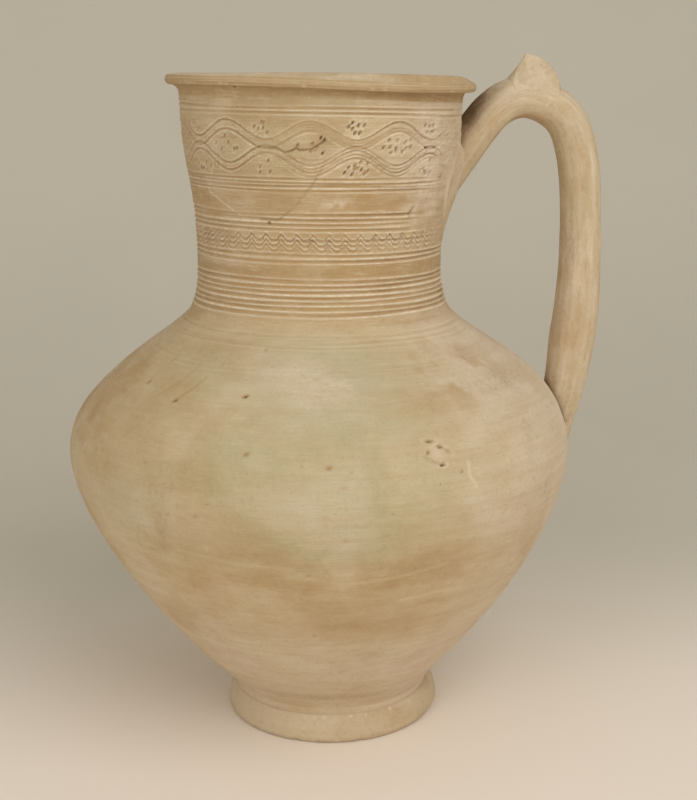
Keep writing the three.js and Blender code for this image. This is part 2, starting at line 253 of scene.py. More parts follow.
THROAT = NECK_FOOT + THROAT_RISE
MOUTH = RIM - LIP_HEIGHT
belly_line = bezier([
    (BASE_RADIUS, FOOT_TOP),
    slanted(BASE_RADIUS, FOOT_TOP, BELLY_RUN, BELLY_SLOPE),
    (BELLY_RADIUS, BELLY_TOP - BELLY_ROUND),
    (BELLY_RADIUS, BELLY_TOP),
])
belly_line[:, 0] += WAIST_FILLET * np.exp((FOOT_TOP - belly_line[:, 1]) / WAIST_FADE)
shoulder_line = bezier([
    (BELLY_RADIUS, BELLY_TOP),
    (BELLY_RADIUS, BELLY_TOP + SHOULDER_ROUND),
    slanted(NECK_BASE_RADIUS, NECK_FOOT, -SHOULDER_RUN, -SHOULDER_SLOPE),
    (NECK_BASE_RADIUS, NECK_FOOT),
])
throat, mouth, crest = (THROAT_RADIUS, THROAT), (MOUTH_RADIUS, MOUTH), (MOUTH_RADIUS - LIP_CREST, RIM)
middle = (THROAT + MOUTH) / 2
neck_line = np.vstack([
    bezier([(NECK_BASE_RADIUS, NECK_FOOT), (THROAT_RADIUS, NECK_FOOT + THROAT_RISE / 3), throat]),
    bezier([throat, (THROAT_RADIUS, middle), (MOUTH_RADIUS - MOUTH_FLARE, middle), mouth])[1:],
])
edge_top = RIM - LIP_FALL
edge_low = edge_top - LIP_EDGE
edge_in, edge_out = LIP_RADIUS - LIP_EDGE / 2, LIP_RADIUS + LIP_EDGE / 6
lip_line = np.vstack([
    bezier([mouth, (MOUTH_RADIUS, edge_low), (edge_in, edge_low)], 20),
    bezier([(edge_in, edge_low), (edge_out, edge_low), (edge_out, edge_top), (edge_in, edge_top)], 16)[1:],
    bezier([(edge_in, edge_top), (MOUTH_RADIUS + 2, RIM), crest], 12)[1:],
])
mouth_line = bezier([crest, (MOUTH_RADIUS - 4, RIM), (MOUTH_RADIUS - NECK_WALL, MOUTH)], 20)
outer_line = np.vstack([belly_line, shoulder_line[1:], neck_line[1:]])


def outside(height):
    """Radius of the outside of the vessel at a height."""
    return np.interp(height, outer_line[:, 1], outer_line[:, 0])


def sway(height):
    """How far the axis of the thrown clay stands off towards the handle."""
    low = SWAY_LOW * (1 - ramp(60, BELLY_TOP, height))
    low = low + SWAY_WAIST * (1 - ramp(FOOT_TOP, FOOT_TOP + 24, height))
    return low + SWAY_SHOULDER * hill(height - 165, 16) + SWAY_MOUTH * ramp(THROAT, MOUTH, height)


def settle(points):
    """Points of a true vessel, moved to where the leaning, tilted clay has them."""
    x, y, z = np.moveaxis(points, -1, 0)
    raised = unit((z - NECK_FOOT) / (RIM - NECK_FOOT))
    turn = np.arctan2(x, -y)
    oval = 1 + 0.006 * raised * np.cos(2 * turn + 0.8)
    tilt = NECK_TILT * raised * (y - x) + 0.3 * raised**2 * np.sin(3 * turn + 1)
    bent = ramp(MOUTH - 3, MOUTH + 5, z)
    tilt = tilt + bent * (LIP_LIFT_FRONT * np.cos(turn) + LIP_LIFT_SIDE * np.sin(turn))
    front = np.degrees(turn)
    flange = ramp(MOUTH_RADIUS, LIP_RADIUS - 1, np.hypot(x, y)) * ramp(MOUTH, MOUTH + 4, z)
    tilt = tilt - LIP_DROOP * flange * hill(front - 25, 50)
    tilt = tilt + CREST_LIFT * (1 - flange) * ramp(MOUTH + 3, RIM, z) * hill(front - 62, 28)
    return np.stack([x * oval + sway(z), y * oval, z + tilt], -1)


def turned(section, turn, relief):
    """Points of a section carried round to the given angles, with a relief along its normals."""
    normal = outward(section)
    radius = section[:, :1] + normal[:, :1] * relief
    height = section[:, 1:] + normal[:, 1:] * relief
    angle = np.radians(turn)
    return np.stack([radius * np.sin(angle), -radius * np.cos(angle), height + 0 * angle], -1)


def columns(count):
    """Angles of a ring's points, closer together in front."""
    angle = np.linspace(-np.pi, np.pi, count, endpoint=False)
    return np.degrees(angle - FRONT_DENSE * np.sin(angle))[None, :]


# Gathering points and faces into meshes

# Traits: hollow is painted shade in marks, cracks and corners; crest is pale wear with a painted highlight on
# burrs and edges; grime and ochre are dirt and stain that also carry painted shade.
TRAITS = ("hollow", "crest", "green", "ochre", "pink", "grime", "chalk")


def closed(numbers):
    """A grid of point numbers with its first column again at the end."""
    return np.c_[numbers, numbers[:, :1]]


class Piece:
    """One piece of clay, gathered sheet by sheet."""

    def __init__(self):
        self.count = 0
        self.points = []
        self.flow = []
        self.traits = {name: [] for name in TRAITS}
        self.faces = []
        self.places = []
        self.creases = []

    def add(self, points, flow, **traits):
        """Takes points of any grid shape, with shares of their traits, and gives their numbers. Flow is where
        they lie along the wiping."""
        shape = points.shape[:-1]
        numbers = self.count + np.arange(np.prod(shape)).reshape(shape)
        self.count += numbers.size
        self.points.append(points.reshape(-1, 3))
        self.flow.append(np.broadcast_to(flow, points.shape).reshape(-1, 3))
        for name in TRAITS:
            self.traits[name].append(np.broadcast_to(traits.get(name, 0.0), shape).reshape(-1))
        return numbers

    def sheet(self, numbers, low, high):
        """Quads over a grid of point numbers, laid from low to high across the texture."""
        rows, sides = numbers.shape
        spots = np.stack(np.meshgrid(np.linspace(0, 1, sides), np.linspace(low, high, rows)), -1)
        for grid, kept in ((numbers, self.faces), (spots, self.places)):
            quads = np.stack([grid[:-1, :-1], grid[:-1, 1:], grid[1:, 1:], grid[1:, :-1]], 2)
            kept.append(quads.reshape(-1, 4, *grid.shape[2:]))

    def stitch(self, near, far, low, high):
        """Triangles between two chains of point numbers, with a crease along both."""
        i = j = 0
        last_i, last_j = len(near) - 1, len(far) - 1
        near_spots = [(at, low) for at in np.linspace(0, 1, len(near))]
        far_spots = [(at, high) for at in np.linspace(0, 1, len(far))]
        faces, spots = [], []
        while i < last_i or j < last_j:
            if j == last_j or (i < last_i and (i + 1) * last_j <= (j + 1) * last_i):
                faces.append((near[i], near[i + 1], far[j]))
                spots.append((near_spots[i], near_spots[i + 1], far_spots[j]))
                i += 1
            else:
                faces.append((near[i], far[j + 1], far[j]))
                spots.append((near_spots[i], far_spots[j + 1], far_spots[j]))
                j += 1
        self.faces.append(np.array(faces))
        self.places.append(np.array(spots))
        self.creases += [near, far]

    def build(self, node, slot):
        """Makes the mesh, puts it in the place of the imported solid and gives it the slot's clay."""
        corners = np.concatenate([f.reshape(-1) for f in self.faces])
        used, corners = np.unique(corners, return_inverse=True)
        sizes = np.concatenate([np.full(len(f), f.shape[1]) for f in self.faces])
        mesh = bpy.data.meshes.new("clay_" + node)
        mesh.vertices.add(len(used))
        mesh.vertices.foreach_set("co", (np.concatenate(self.points)[used] * MM).ravel())
        mesh.loops.add(len(corners))
        mesh.loops.foreach_set("vertex_index", corners.astype(np.int32))
        mesh.polygons.add(len(sizes))
        mesh.polygons.foreach_set("loop_start", np.r_[0, np.cumsum(sizes)[:-1]].astype(np.int32))
        mesh.update(calc_edges=True)
        mesh.shade_smooth()
        places = np.concatenate([p.reshape(-1, 2) for p in self.places])
        mesh.uv_layers.new(name="OFBake").uv.foreach_set("vector", places.astype(np.float32).ravel())
        for name, values in self.traits.items():
            values = np.concatenate(values)[used]
            mesh.attributes.new(name, "FLOAT", "POINT").data.foreach_set("value", values)
        flow = mesh.attributes.new("flow", "FLOAT_VECTOR", "POINT")
        flow.data.foreach_set("vector", np.concatenate(self.flow)[used].ravel())
        if self.creases:
            self.mark_creases(mesh, used)
        mesh.validate()
        piece = bpy.data.objects.new("clay_" + node, mesh)
        bpy.context.scene.collection.objects.link(piece)
        mesh.materials.append(CLAYS[slot])
        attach(piece, "root")
        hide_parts(node)

    def mark_creases(self, mesh, used):
        ends = np.zeros(len(mesh.edges) * 2, np.int32)
        mesh.edges.foreach_get("vertices", ends)
        ends = np.sort(used[ends.reshape(-1, 2)], axis=1)
        chains = [np.sort(np.stack([chain[:-1], chain[1:]], 1), axis=1) for chain in self.creases]
        chains = np.concatenate(chains)
        sharp = np.isin(ends[:, 0] * self.count + ends[:, 1], chains[:, 0] * self.count + chains[:, 1])
        mesh.attributes.new("sharp_edge", "BOOLEAN", "EDGE").data.foreach_set("value", sharp)


# Relief of the surfaces, in millimetres out of the wall


def cut(gap, width, depth):
    """A groove cut in soft clay, with a burr along both sides."""
    burr = hill(gap - 1.8 * width, 0.7 * width) + hill(gap + 1.8 * width, 0.7 * width)
    return depth * (0.4 * burr - hill(gap, width))


def rings(turn, height, levels, width, depth):
    """Grooves cut as the vessel turned, each wandering a little and biting unevenly."""
    angle = np.radians(turn)
    total = 0
    for level in levels:
        drift = 0.22 * np.sin(2 * angle + 1.7 * level) + 0.1 * np.sin(5 * angle + level)
        bite = 0.78 + 0.22 * np.sin(3 * angle + 2.3 * level)
        total = total + bite * cut(height - level - drift, width, depth)
    return total


def wave(turn, height, level, swing, teeth, bold):
    """A wavy line drawn with a comb, whose teeth are offsets from the wave's middle."""
    phase = np.radians(from_angle(turn, 270) - from_angle(MEDALLION, 270)) * 360 / WAVE_PITCH
    angle = np.radians(turn)
    line = level + swing * np.cos(phase) + 0.35 * np.sin(2 * angle + level)
    slope = swing * np.sin(phase) * np.radians(360 / WAVE_PITCH) / np.radians(MOUTH_RADIUS)
    steep = 1 / np.sqrt(1 + slope**2)
    crisp = ramp(-25, 10, from_angle(turn, 0))
    total = 0
    for tooth in teeth:
        bite = 0.75 + 0.25 * np.sin(4 * angle + 2 * tooth + level)
        if tooth not in bold:
            bite = bite * (0.2 + 0.55 * crisp)
        total = total + bite * cut((height - line - tooth) * steep, 0.45, 0.85)
    return total


def zigzag(turn, height):
    """Short combed waves, drawn a second time over the first at the left."""
    angle = np.radians(turn)
    phase = ZIGZAG_COUNT * angle + 0.5 * np.sin(3 * angle)
    again = 1 - ramp(-62, -48, from_angle(turn, 0)) * ramp(-178, -150, from_angle(turn, 0))
    total = 0
    for i, level in enumerate(ZIGZAG_LINES):
        swell = ZIGZAG_SWING * (np.cos(phase) + 0.25 * np.cos(2 * phase))
        bite = (1, 0.85, 0.6)[i] * (0.8 + 0.2 * np.sin(7 * angle + level))
        total = total + bite * cut((height - level - swell) * 0.75, 0.4, 0.75)
        total = total + again * bite * cut((height - level + swell) * 0.75, 0.4, 0.6)
    return total


def stab_centres():
    """Angle and height of each stab: clusters in the lenses and in the corners above and below them."""
    chance = np.random.default_rng(11)
    spots = []
    for i in range(-6, 3):
        lens = MEDALLION + i * WAVE_PITCH
        node = lens + WAVE_PITCH / 2
        clusters = ((lens + 1, 271.6, 4, 3.6), (lens, 269.4, 5, 3.4), (lens + 1, 266.9, 4, 2.9))
        clusters += ((node - 1, 277.6, 4, 2.3), (node - 1, 275.0, 3, 2.3))
        clusters += ((node + 2, 261.8, 3, 2.3), (node + 1, 259.8, 5, 2.3), (node + 1, 258.0, 5, 2.8))
        for angle, height, count, pitch in clusters:
            for k in range(count):
                along = (k - (count - 1) / 2) * pitch + chance.normal(0, 0.5)
                turn = angle + math.degrees(along / MOUTH_RADIUS)
                worn = -150 < turn < -5
                if chance.uniform() < (0.45 if worn else 0.85):
                    depth = chance.uniform(0.7, 1.1) if worn else chance.uniform(1.1, 1.8)
                    spots.append((turn, height + chance.normal(0, 0.6), depth))
    return spots


def stab(turn, height, angle, level, lean, length, width, depth, rim):
    """One slanting stab of a pointed tool, with a raised rim."""
    across = np.radians(from_angle(turn, angle)) * MOUTH_RADIUS
    up = height - level
    cosine, sine = math.cos(math.radians(lean)), math.sin(math.radians(lean))
    along = (across * cosine + up * sine) / length
    aside = (up * cosine - across * sine) / width
    far = along**2 + aside**2
    return depth * (rim * hill(np.sqrt(far) - 1.9, 0.6) - np.exp(-far))


def patch_of(turn, height, angle, level, reach):
    """Where a small mark can touch a grid, as the numbers of its points."""
    near = np.abs(np.radians(from_angle(turn, angle))) * outside(level) < reach
    return np.nonzero(near & (np.abs(height - level) < reach))


STAB_REACH, SLIT_REACH, SCRATCH_REACH = 4, 7, 3  # how far from their middles such marks touch the clay


def press(relief, turn, height, angle, level, reach=STAB_REACH, **tool):
    """Adds one stab to the part of a grid that it can touch."""
    spot = patch_of(turn, height, angle, level, reach)
    relief[spot] += stab(turn[spot], height[spot], angle, level, **tool)


def score(relief, turn, height, path, width, rise):
    """A scratch along a path of angles and heights: cut in, or a pale thread standing up."""
    for start, end in zip(path, path[1:]):
        for angle, level in bezier([start, end], 24):
            spot = patch_of(turn, height, angle, level, SCRATCH_REACH)
            gap = np.hypot(np.radians(from_angle(turn[spot], angle)) * outside(level), height[spot] - level)
            deeper = np.minimum if rise < 0 else np.maximum
            relief[spot] = deeper(relief[spot], rise * hill(gap, width))


STABS = stab_centres()
STAB_CLEAR = 44  # degrees on both sides of the handle that have no stabs
RINGS = (  # levels, width, depth, and the degrees from the handle between which they set in
    (LIP_LINES, 0.45, 0.65, 14, 30),
    (FRIEZE_LINES, 0.42, 0.72, 28, 50),
    (MIDDLE_LINES, 0.55, 0.75, 42, 60),
    (THROAT_LINES, 0.55, 0.75, 2, 16),
)
LENS_CRACK = (  # angles and heights
    (-26.7, 268.2), (-23, 267.7), (-21, 268.0), (-18, 266.2), (-15.5, 266.9), (-13.3, 268.2), (-12.2, 267.2),
    (-9.5, 267.6), (-7.5, 267.8), (-5, 269.6), (-2.7, 271.1),
)
SLITS = (  # angle, height, lean and length
    (62.5, 261.7, 58, 1.7), (56, 255.5, 60, 1.7), (38.5, 241.8, 62, 2.0), (-26, 237.1, 40, 0.7),
)


def neck_relief(turn, height):
    """Everything cut in the outside of the neck."""
    turn, height = np.broadcast_arrays(turn, height)
    front = from_angle(turn, 0)
    away = np.abs(from_angle(turn, HANDLE_SIDE)) + 5 * np.sin(height * 0.9) + 3 * np.sin(height * 2.3)
    worn = 0.72 + 0.28 * ramp(-20, 15, front) * ramp(-170, -120, front)
    relief = wave(turn, height, UPPER_WAVE, UPPER_SWING, UPPER_TEETH, UPPER_BOLD)
    relief = relief + wave(turn, height, LOWER_WAVE, LOWER_SWING, LOWER_TEETH, LOWER_BOLD)
    relief = relief * ramp(28, 50, away) + zigzag(turn, height) * ramp(22, 40, away)
    for levels, width, depth, start, full in RINGS:
        relief = relief + rings(turn, height, levels, width, depth) * ramp(start, full, away)
    comb = COMB_TOP - COMB_PITCH * np.arange(COMB_TEETH)
    relief = worn * (relief + rings(turn, height, comb, 0.62, 0.8))
    for angle, level, depth in STABS:
        if abs(from_angle(angle, HANDLE_SIDE)) > STAB_CLEAR:
            press(relief, turn, height, angle, level, lean=62, length=0.9, width=0.4, depth=depth, rim=0.13)
    for angle, level, lean, length in SLITS:
        tool = {"lean": lean, "length": length, "width": 0.42, "depth": 1.6, "rim": 0}
        press(relief, turn, height, angle, level, SLIT_REACH, **tool)
    score(relief, turn, height, LENS_CRACK, 0.4, -0.95)
    return relief


def break_angles(height):
    """Angles of the two break lines at a height, with a ragged edge."""
    ragged = 0.5 * np.sin(1.9 * height) + 0.3 * np.sin(4.3 * height + 1)
    left = np.interp(height, *np.array(LEFT_BREAK).T) + ragged
    right = np.interp(height, *np.array(RIGHT_BREAK).T) + ragged * 0.8
    return left, right


def break_distance(turn, height):
    """Millimetres from the break lines, on the outside of the neck."""
    levels = np.arange(SHERD_TIP, RIM + 2, 1.5)
    left, right = break_angles(levels)
    chain = np.r_[np.stack([left, levels], 1)[::-1], np.stack([right, levels], 1)]
    chain[:, 0] = np.radians(chain[:, 0]) * MOUTH_RADIUS
    spot = np.stack(np.broadcast_arrays(np.radians(from_angle(turn, 0)) * MOUTH_RADIUS, height), -1)
    nearest = np.full(spot.shape[:-1], np.inf)
    for start, end in zip(chain, chain[1:]):
        side = end - start
        at = unit((spot - start) @ side / (side @ side))
        nearest = np.minimum(nearest, np.linalg.norm(spot - start - at[..., None] * side, axis=-1))
    return nearest


BODY_PITS = (  # angle, height and size
    (-24.5, 170.7, 1.0), (-58.5, 170, 0.9), (-44, 166.6, 1.2),
    (26, 143, 0.7), (-2.6, 148, 0.8), (-20, 152, 0.7),
)
SMALL_PITS = 120
BODY_SCRATCHES = (  # paths, and how far they stand up or are cut in
    (((27.6, 146), (27.4, 141), (29.0, 136)), 0.14),
    (((13.8, 88), (22, 89.6), (30, 89)), 0.07),
    (((-36, 110), (-22, 107), (-10, 106)), 0.05),
    (((2, 99), (14, 101), (24, 104)), 0.07),
    (((188, 100), (200, 98), (212, 99)), 0.07),
    (((-44, 167), (-41, 171), (-39, 175.5)), -0.3),
    (((-50, 168), (-46, 174), (-44, 179)), -0.2),
    (((128, 150), (133, 141), (136, 133)), -0.3),
)
FLAKE_ANGLE, FLAKE_LEVEL, FLAKE_REACH = 20.2, 151, 4.2
FLAKE_EDGE = (  # stabs along its broken edge: angle, height, lean, length and depth
    (19.3, 155.3, -10, 1.2, 1.3), (21.5, 153.0, -35, 0.9, 1.6), (23.0, 151.3, -55, 1.1, 0.8),
    (18.5, 151.5, 70, 0.8, 1.0), (21.4, 146.5, 0, 0.6, 1.9),
)
FLAKE_LINE = ((17.5, 150.2), (19.0, 148.6), (20.7, 147.0))


def flake(turn, height):
    """Where a thin flake has come away, as 0 outside and 1 in its middle."""
    across = np.radians(from_angle(turn, FLAKE_ANGLE)) * outside(FLAKE_LEVEL)
    return hill(np.hypot(across, height - FLAKE_LEVEL), FLAKE_REACH)


def body_marks(turn, height):
    """Pits, scratches and the flake of the belly and the shoulder."""
    turn, height = np.broadcast_arrays(turn, height)
    relief = -0.2 * flake(turn, height)
    score(relief, turn, height, FLAKE_LINE, 0.45, -0.7)
    for angle, level, lean, length, depth in FLAKE_EDGE:
        press(relief, turn, height, angle, level, lean=lean, length=length, width=0.45, depth=depth, rim=0.1)
    chance = np.random.default_rng(5)
    pits = [*BODY_PITS]
    for _ in range(SMALL_PITS):
        pits.append((chance.uniform(-180, 180), chance.uniform(30, 190), chance.uniform(0.1, 0.4)))
    for angle, level, size in pits:
        length, depth = 0.5 + 0.3 * size, 1.4 * size
        press(relief, turn, height, angle, level, lean=20, length=length, width=0.5, depth=depth, rim=0)
    for path, rise in BODY_SCRATCHES:
        score(relief, turn, height, path, 0.6, rise)
    clear = ramp(8, 30, np.abs(from_angle(turn, HANDLE_SIDE)))
    for levels, depth in (((180.2, 178.7, 177.4), 0.06), ((190.6, 188.3, 187.0), 0.16)):
        relief = relief + rings(turn, height, levels, 0.4, depth) * clear
    return relief


def hand_waves(points, height):
    """The slow unevenness of clay thrown and wiped by hand."""
    ridges = 0.05 * np.sin(height * 0.72 + 4 * grain(points, 60, 3)) * band(height, 20, 60, 135, 185)
    return ridges + 0.35 * grain(points, 45, 1) + 0.07 * grain(points, 11, 2)


# Patches of colour, the same for every thrown piece so that they run on across the joints

STAINED_BAND = 216.5  # height of a darker band between the throat lines and the comb


def shares(looks):
    """Amounts of each trait, kept between 0 and 1."""
    return {name: unit(amount) for name, amount in looks.items()}


def vessel_colours(turn, height, points, marks):
    """Shares of each colour on the thrown clay, with ochre painted shade in and around its marks."""
    front = from_angle(turn, 0)
    patches = cloud(points, 42, 21)
    streaks = cloud(points * (0.25, 0.25, 1), 9, 31)

    def patch(angle, width, level, reach):
        return hill(front - angle, width) * hill(height - level, reach)

    stained = hill(height - STAINED_BAND, 3.0)
    green = hill(front + 12, 42) * band(height, 96, 122, 178, 200) * (0.9 + 0.9 * patches)
    green = green + 0.45 * ramp(0.2, 0.9, patches) * ramp(95, 180, np.abs(front))
    ochre = 0.3 * patch(-50, 16, 150, 15) + 0.4 * hill(front + 70, 25) * ramp(115, 150, height)
    ochre = ochre + 0.45 * ramp(0.15, 0.8, cloud(points, 34, 41)) + 1.1 * stained
    # The last term is painted shade: ochre darkening in and around the cut marks.
    ochre = ochre + 0.9 * patch(21, 10, 246, 4.5) + 0.9 * unit(-marks / 0.6)
    ochre = ochre + 0.62 * band(height, 188, 200, 250, 262)
    ochre = ochre + 0.5 * patch(-20, 26, 283, 4) * ramp(-0.4, 0.4, streaks)
    ochre = ochre + 0.5 * patch(4, 30, 94, 24) * ramp(-0.2, 0.6, streaks)
    ochre = ochre + 0.8 * patch(36, 24, 176, 14) * ramp(0, 0.5, cloud(points, 13, 43))
    pink = band(front, 8, 55, 120, 170) * ramp(60, 110, height) + 0.8 * (1 - ramp(52, 92, height))
    pink = pink + 0.5 * patch(-70, 24, 118, 20) + 0.5 * ramp(0.1, 0.8, cloud(points, 30, 51))
    grime = 0.3 * ramp(0.3, 1.0, streaks) + 0.3 * ramp(0.45, 1.1, cloud(points, 18, 61))
    grime = grime + 0.7 * patch(-4, 26, 25 + streaks, 2.0) + 0.3 * stained
    smeared = band(front, 14, 42, 95, 125) * band(height, 226, 238, 285, 288)
    limb = band(front, 48, 80, 110, 150) * band(height, 70, 110, 180, 195)
    low_right = band(front, 10, 40, 95, 130) * (1 - ramp(70, 100, height))
    chalk = 0.6 * smeared * ramp(-0.5, 0.6, cloud(points, 9, 81)) + 0.6 * limb + 0.4 * low_right
    chalk = chalk + 0.25 * ramp(0.3, 0.9, cloud(points, 22, 85)) + 0.7 * flake(turn, height)
    chalk = chalk + 0.4 * patch(-8, 26, 174, 13) * ramp(-0.6, 0.4, patches) + 0.6 * patch(-56, 18, 219, 1.8)
    # The small patch at the front of the middle band is chalk with a painted glint on it.
    chalk = chalk + 0.9 * patch(2, 7, 245.5, 2.2) * ramp(-0.3, 0.4, cloud(points, 2.4, 83))
    return shares({"green": green, "ochre": ochre, "pink": pink, "grime": grime, "chalk": chalk})


def wiped_round(points):
    """Flow of a surface wiped as it turned: long round the axis, short up and down."""
    return points * (0.07, 0.07, 1)


MARK_DEPTH = 1.1  # of marks that are dark to the bottom


def mark_shade_and_highlight(relief, depth):
    """How far down in a mark, or up on a burr, a point lies: painted shade down in the mark, pale wear with a
    painted highlight up on the burr.
    """
    return {"hollow": unit(-relief / depth) ** 3, "crest": unit(relief / (0.2 * depth))}


def add_outside(piece, section, turn, marks):
    """A thrown outside with its marks, as a grid of point numbers."""
    height = section[:, 1:]
    base = turned(section, turn, 0)
    relief = marks + hand_waves(base, height)
    looks = vessel_colours(turn, height, base, marks)
    points = settle(turned(section, turn, relief))
    return piece.add(points, wiped_round(base), **looks, **mark_shade_and_highlight(marks, MARK_DEPTH))


def add_inside(piece, section, turn):
    """A thrown inside, with the spiral that fingers left."""
    height = section[:, 1:]
    base = turned(section, turn, 0)
    spiral = 0.4 * np.sin(2 * np.pi * height / 9 + np.radians(turn)) * ramp(24, 40, height)
    spiral = spiral * (1 - ramp(MOUTH - 14, MOUTH, height))
    looks = {"ochre": 0.35, "grime": 0.5 + 0.4 * cloud(base, 30, 71), "pink": 0.3}
    return piece.add(settle(turned(section, turn, spiral)), wiped_round(base), **looks)


# The thrown pieces


def thrown_wall(outer, inner):
    """A piece with an outside that climbs and an inside that falls, joined along their upper edges."""
    piece = Piece()
    turn = columns(BODY_COLUMNS)
    skin = closed(add_outside(piece, outer, turn, body_marks(turn, outer[:, 1:])))
    inside = closed(add_inside(piece, even(inner, INNER_STEP), columns(INNER_COLUMNS)))
    piece.sheet(skin, 0.26, 1)
    piece.sheet(inside, 0.05, 0.24)
    piece.stitch(skin[-1], inside[0], 0.03, 0.04)
    return piece, skin, inside


def lower_body():
    floor_top = FOOT_TOP + FLOOR
    inner = belly_line - BODY_WALL * outward(belly_line)
    inner = inner[(inner[:, 1] > floor_top + BODY_WALL / 2) & (inner[:, 1] < BELLY_TOP - 1)]
    corner = (inner[0, 0] - inner[0, 1] + floor_top, floor_top)
    inner = np.vstack([
        (BELLY_RADIUS - BODY_WALL, BELLY_TOP),
        inner[:0:-1],
        bezier([inner[0], corner, (BASE_RADIUS * 0.6, floor_top)], 12),
        (2, floor_top),
    ])
    piece, skin, bowl = thrown_wall(even(belly_line, BODY_STEP), inner)
    under = piece.add(settle(np.array([[0, 0, FOOT_TOP]])), (0, 0, 0))
    pole = piece.add(settle(np.array([[0, 0, floor_top]])), (0, 0, 0), grime=1.0)
    piece.stitch(under, skin[0], 0, 0.01)
    piece.stitch(bowl[-1], pole, 0.015, 0.025)
    piece.build("lower_body", "body_clay")


def shoulder():
    inner = shoulder_line - BODY_WALL * outward(shoulder_line)
    bore = NECK_BASE_RADIUS - NECK_WALL
    inner = inner[(inner[:, 0] > bore) & (inner[:, 1] > BELLY_TOP)]
    inner = np.vstack([(bore, NECK_FOOT), inner[::-1], (BELLY_RADIUS - BODY_WALL, BELLY_TOP)])
    piece, skin, dome = thrown_wall(even(shoulder_line, SHOULDER_STEP), inner)
    piece.stitch(dome[-1], skin[0], 0, 0.02)
    piece.build("shoulder", "shoulder_clay")


def neck_turns(height):
    """Angles of the neck's columns: first those across the sherd, then the rest round the back."""
    left, right = (side[:, None] for side in break_angles(height))
    across = left + (right - left) * np.linspace(0, 1, SHERD_COLUMNS + 1)
    at = np.linspace(0, 1, REST_COLUMNS + 1)[1:-1]
    at = at - FRONT_DENSE * np.sin(2 * np.pi * at) / (2 * np.pi)
    return np.hstack([across, right + (left + 360 - right) * at])


CHIPS = (  # angles and sizes
    (-63, 0.9), (-40, 1.0), (-37.5, 0.7), (-9.6, 0.9), (13, 0.8),
    (17.5, 1.1), (48, 0.7), (150, 1.3), (205, 1.0), (250, 0.9),
)
CHIP_RISE = 1  # of their middles, above the foot of the lip's edge


def chipped(turn, section):
    """Where the outer edge of the lip is chipped, from 0 to 1."""
    off_edge = np.hypot(section[:, :1] - LIP_RADIUS, section[:, 1:] - edge_low - CHIP_RISE)
    total = 0
    for angle, size in CHIPS:
        across = np.radians(from_angle(turn, angle)) * LIP_RADIUS
        total = total + hill(np.hypot(across, off_edge), size)
    return unit(total)


def lip_zones(section):
    """Shares of the lip that are its upper slope, its outer edge and its underside."""
    radius, height = section[:, :1], section[:, 1:]
    top = ramp(edge_top - 0.6, edge_top, height) * ramp(MOUTH_RADIUS - 1, MOUTH_RADIUS + 1, radius)
    edge = ramp(edge_in - 0.4, edge_in + 0.4, radius) * (1 - top) * ramp(edge_low, edge_low + 0.8, height)
    # The underside share carries painted shade.
    under = band(height, MOUTH, MOUTH + 2, edge_low, edge_low + 0.6)
    return top, edge, under


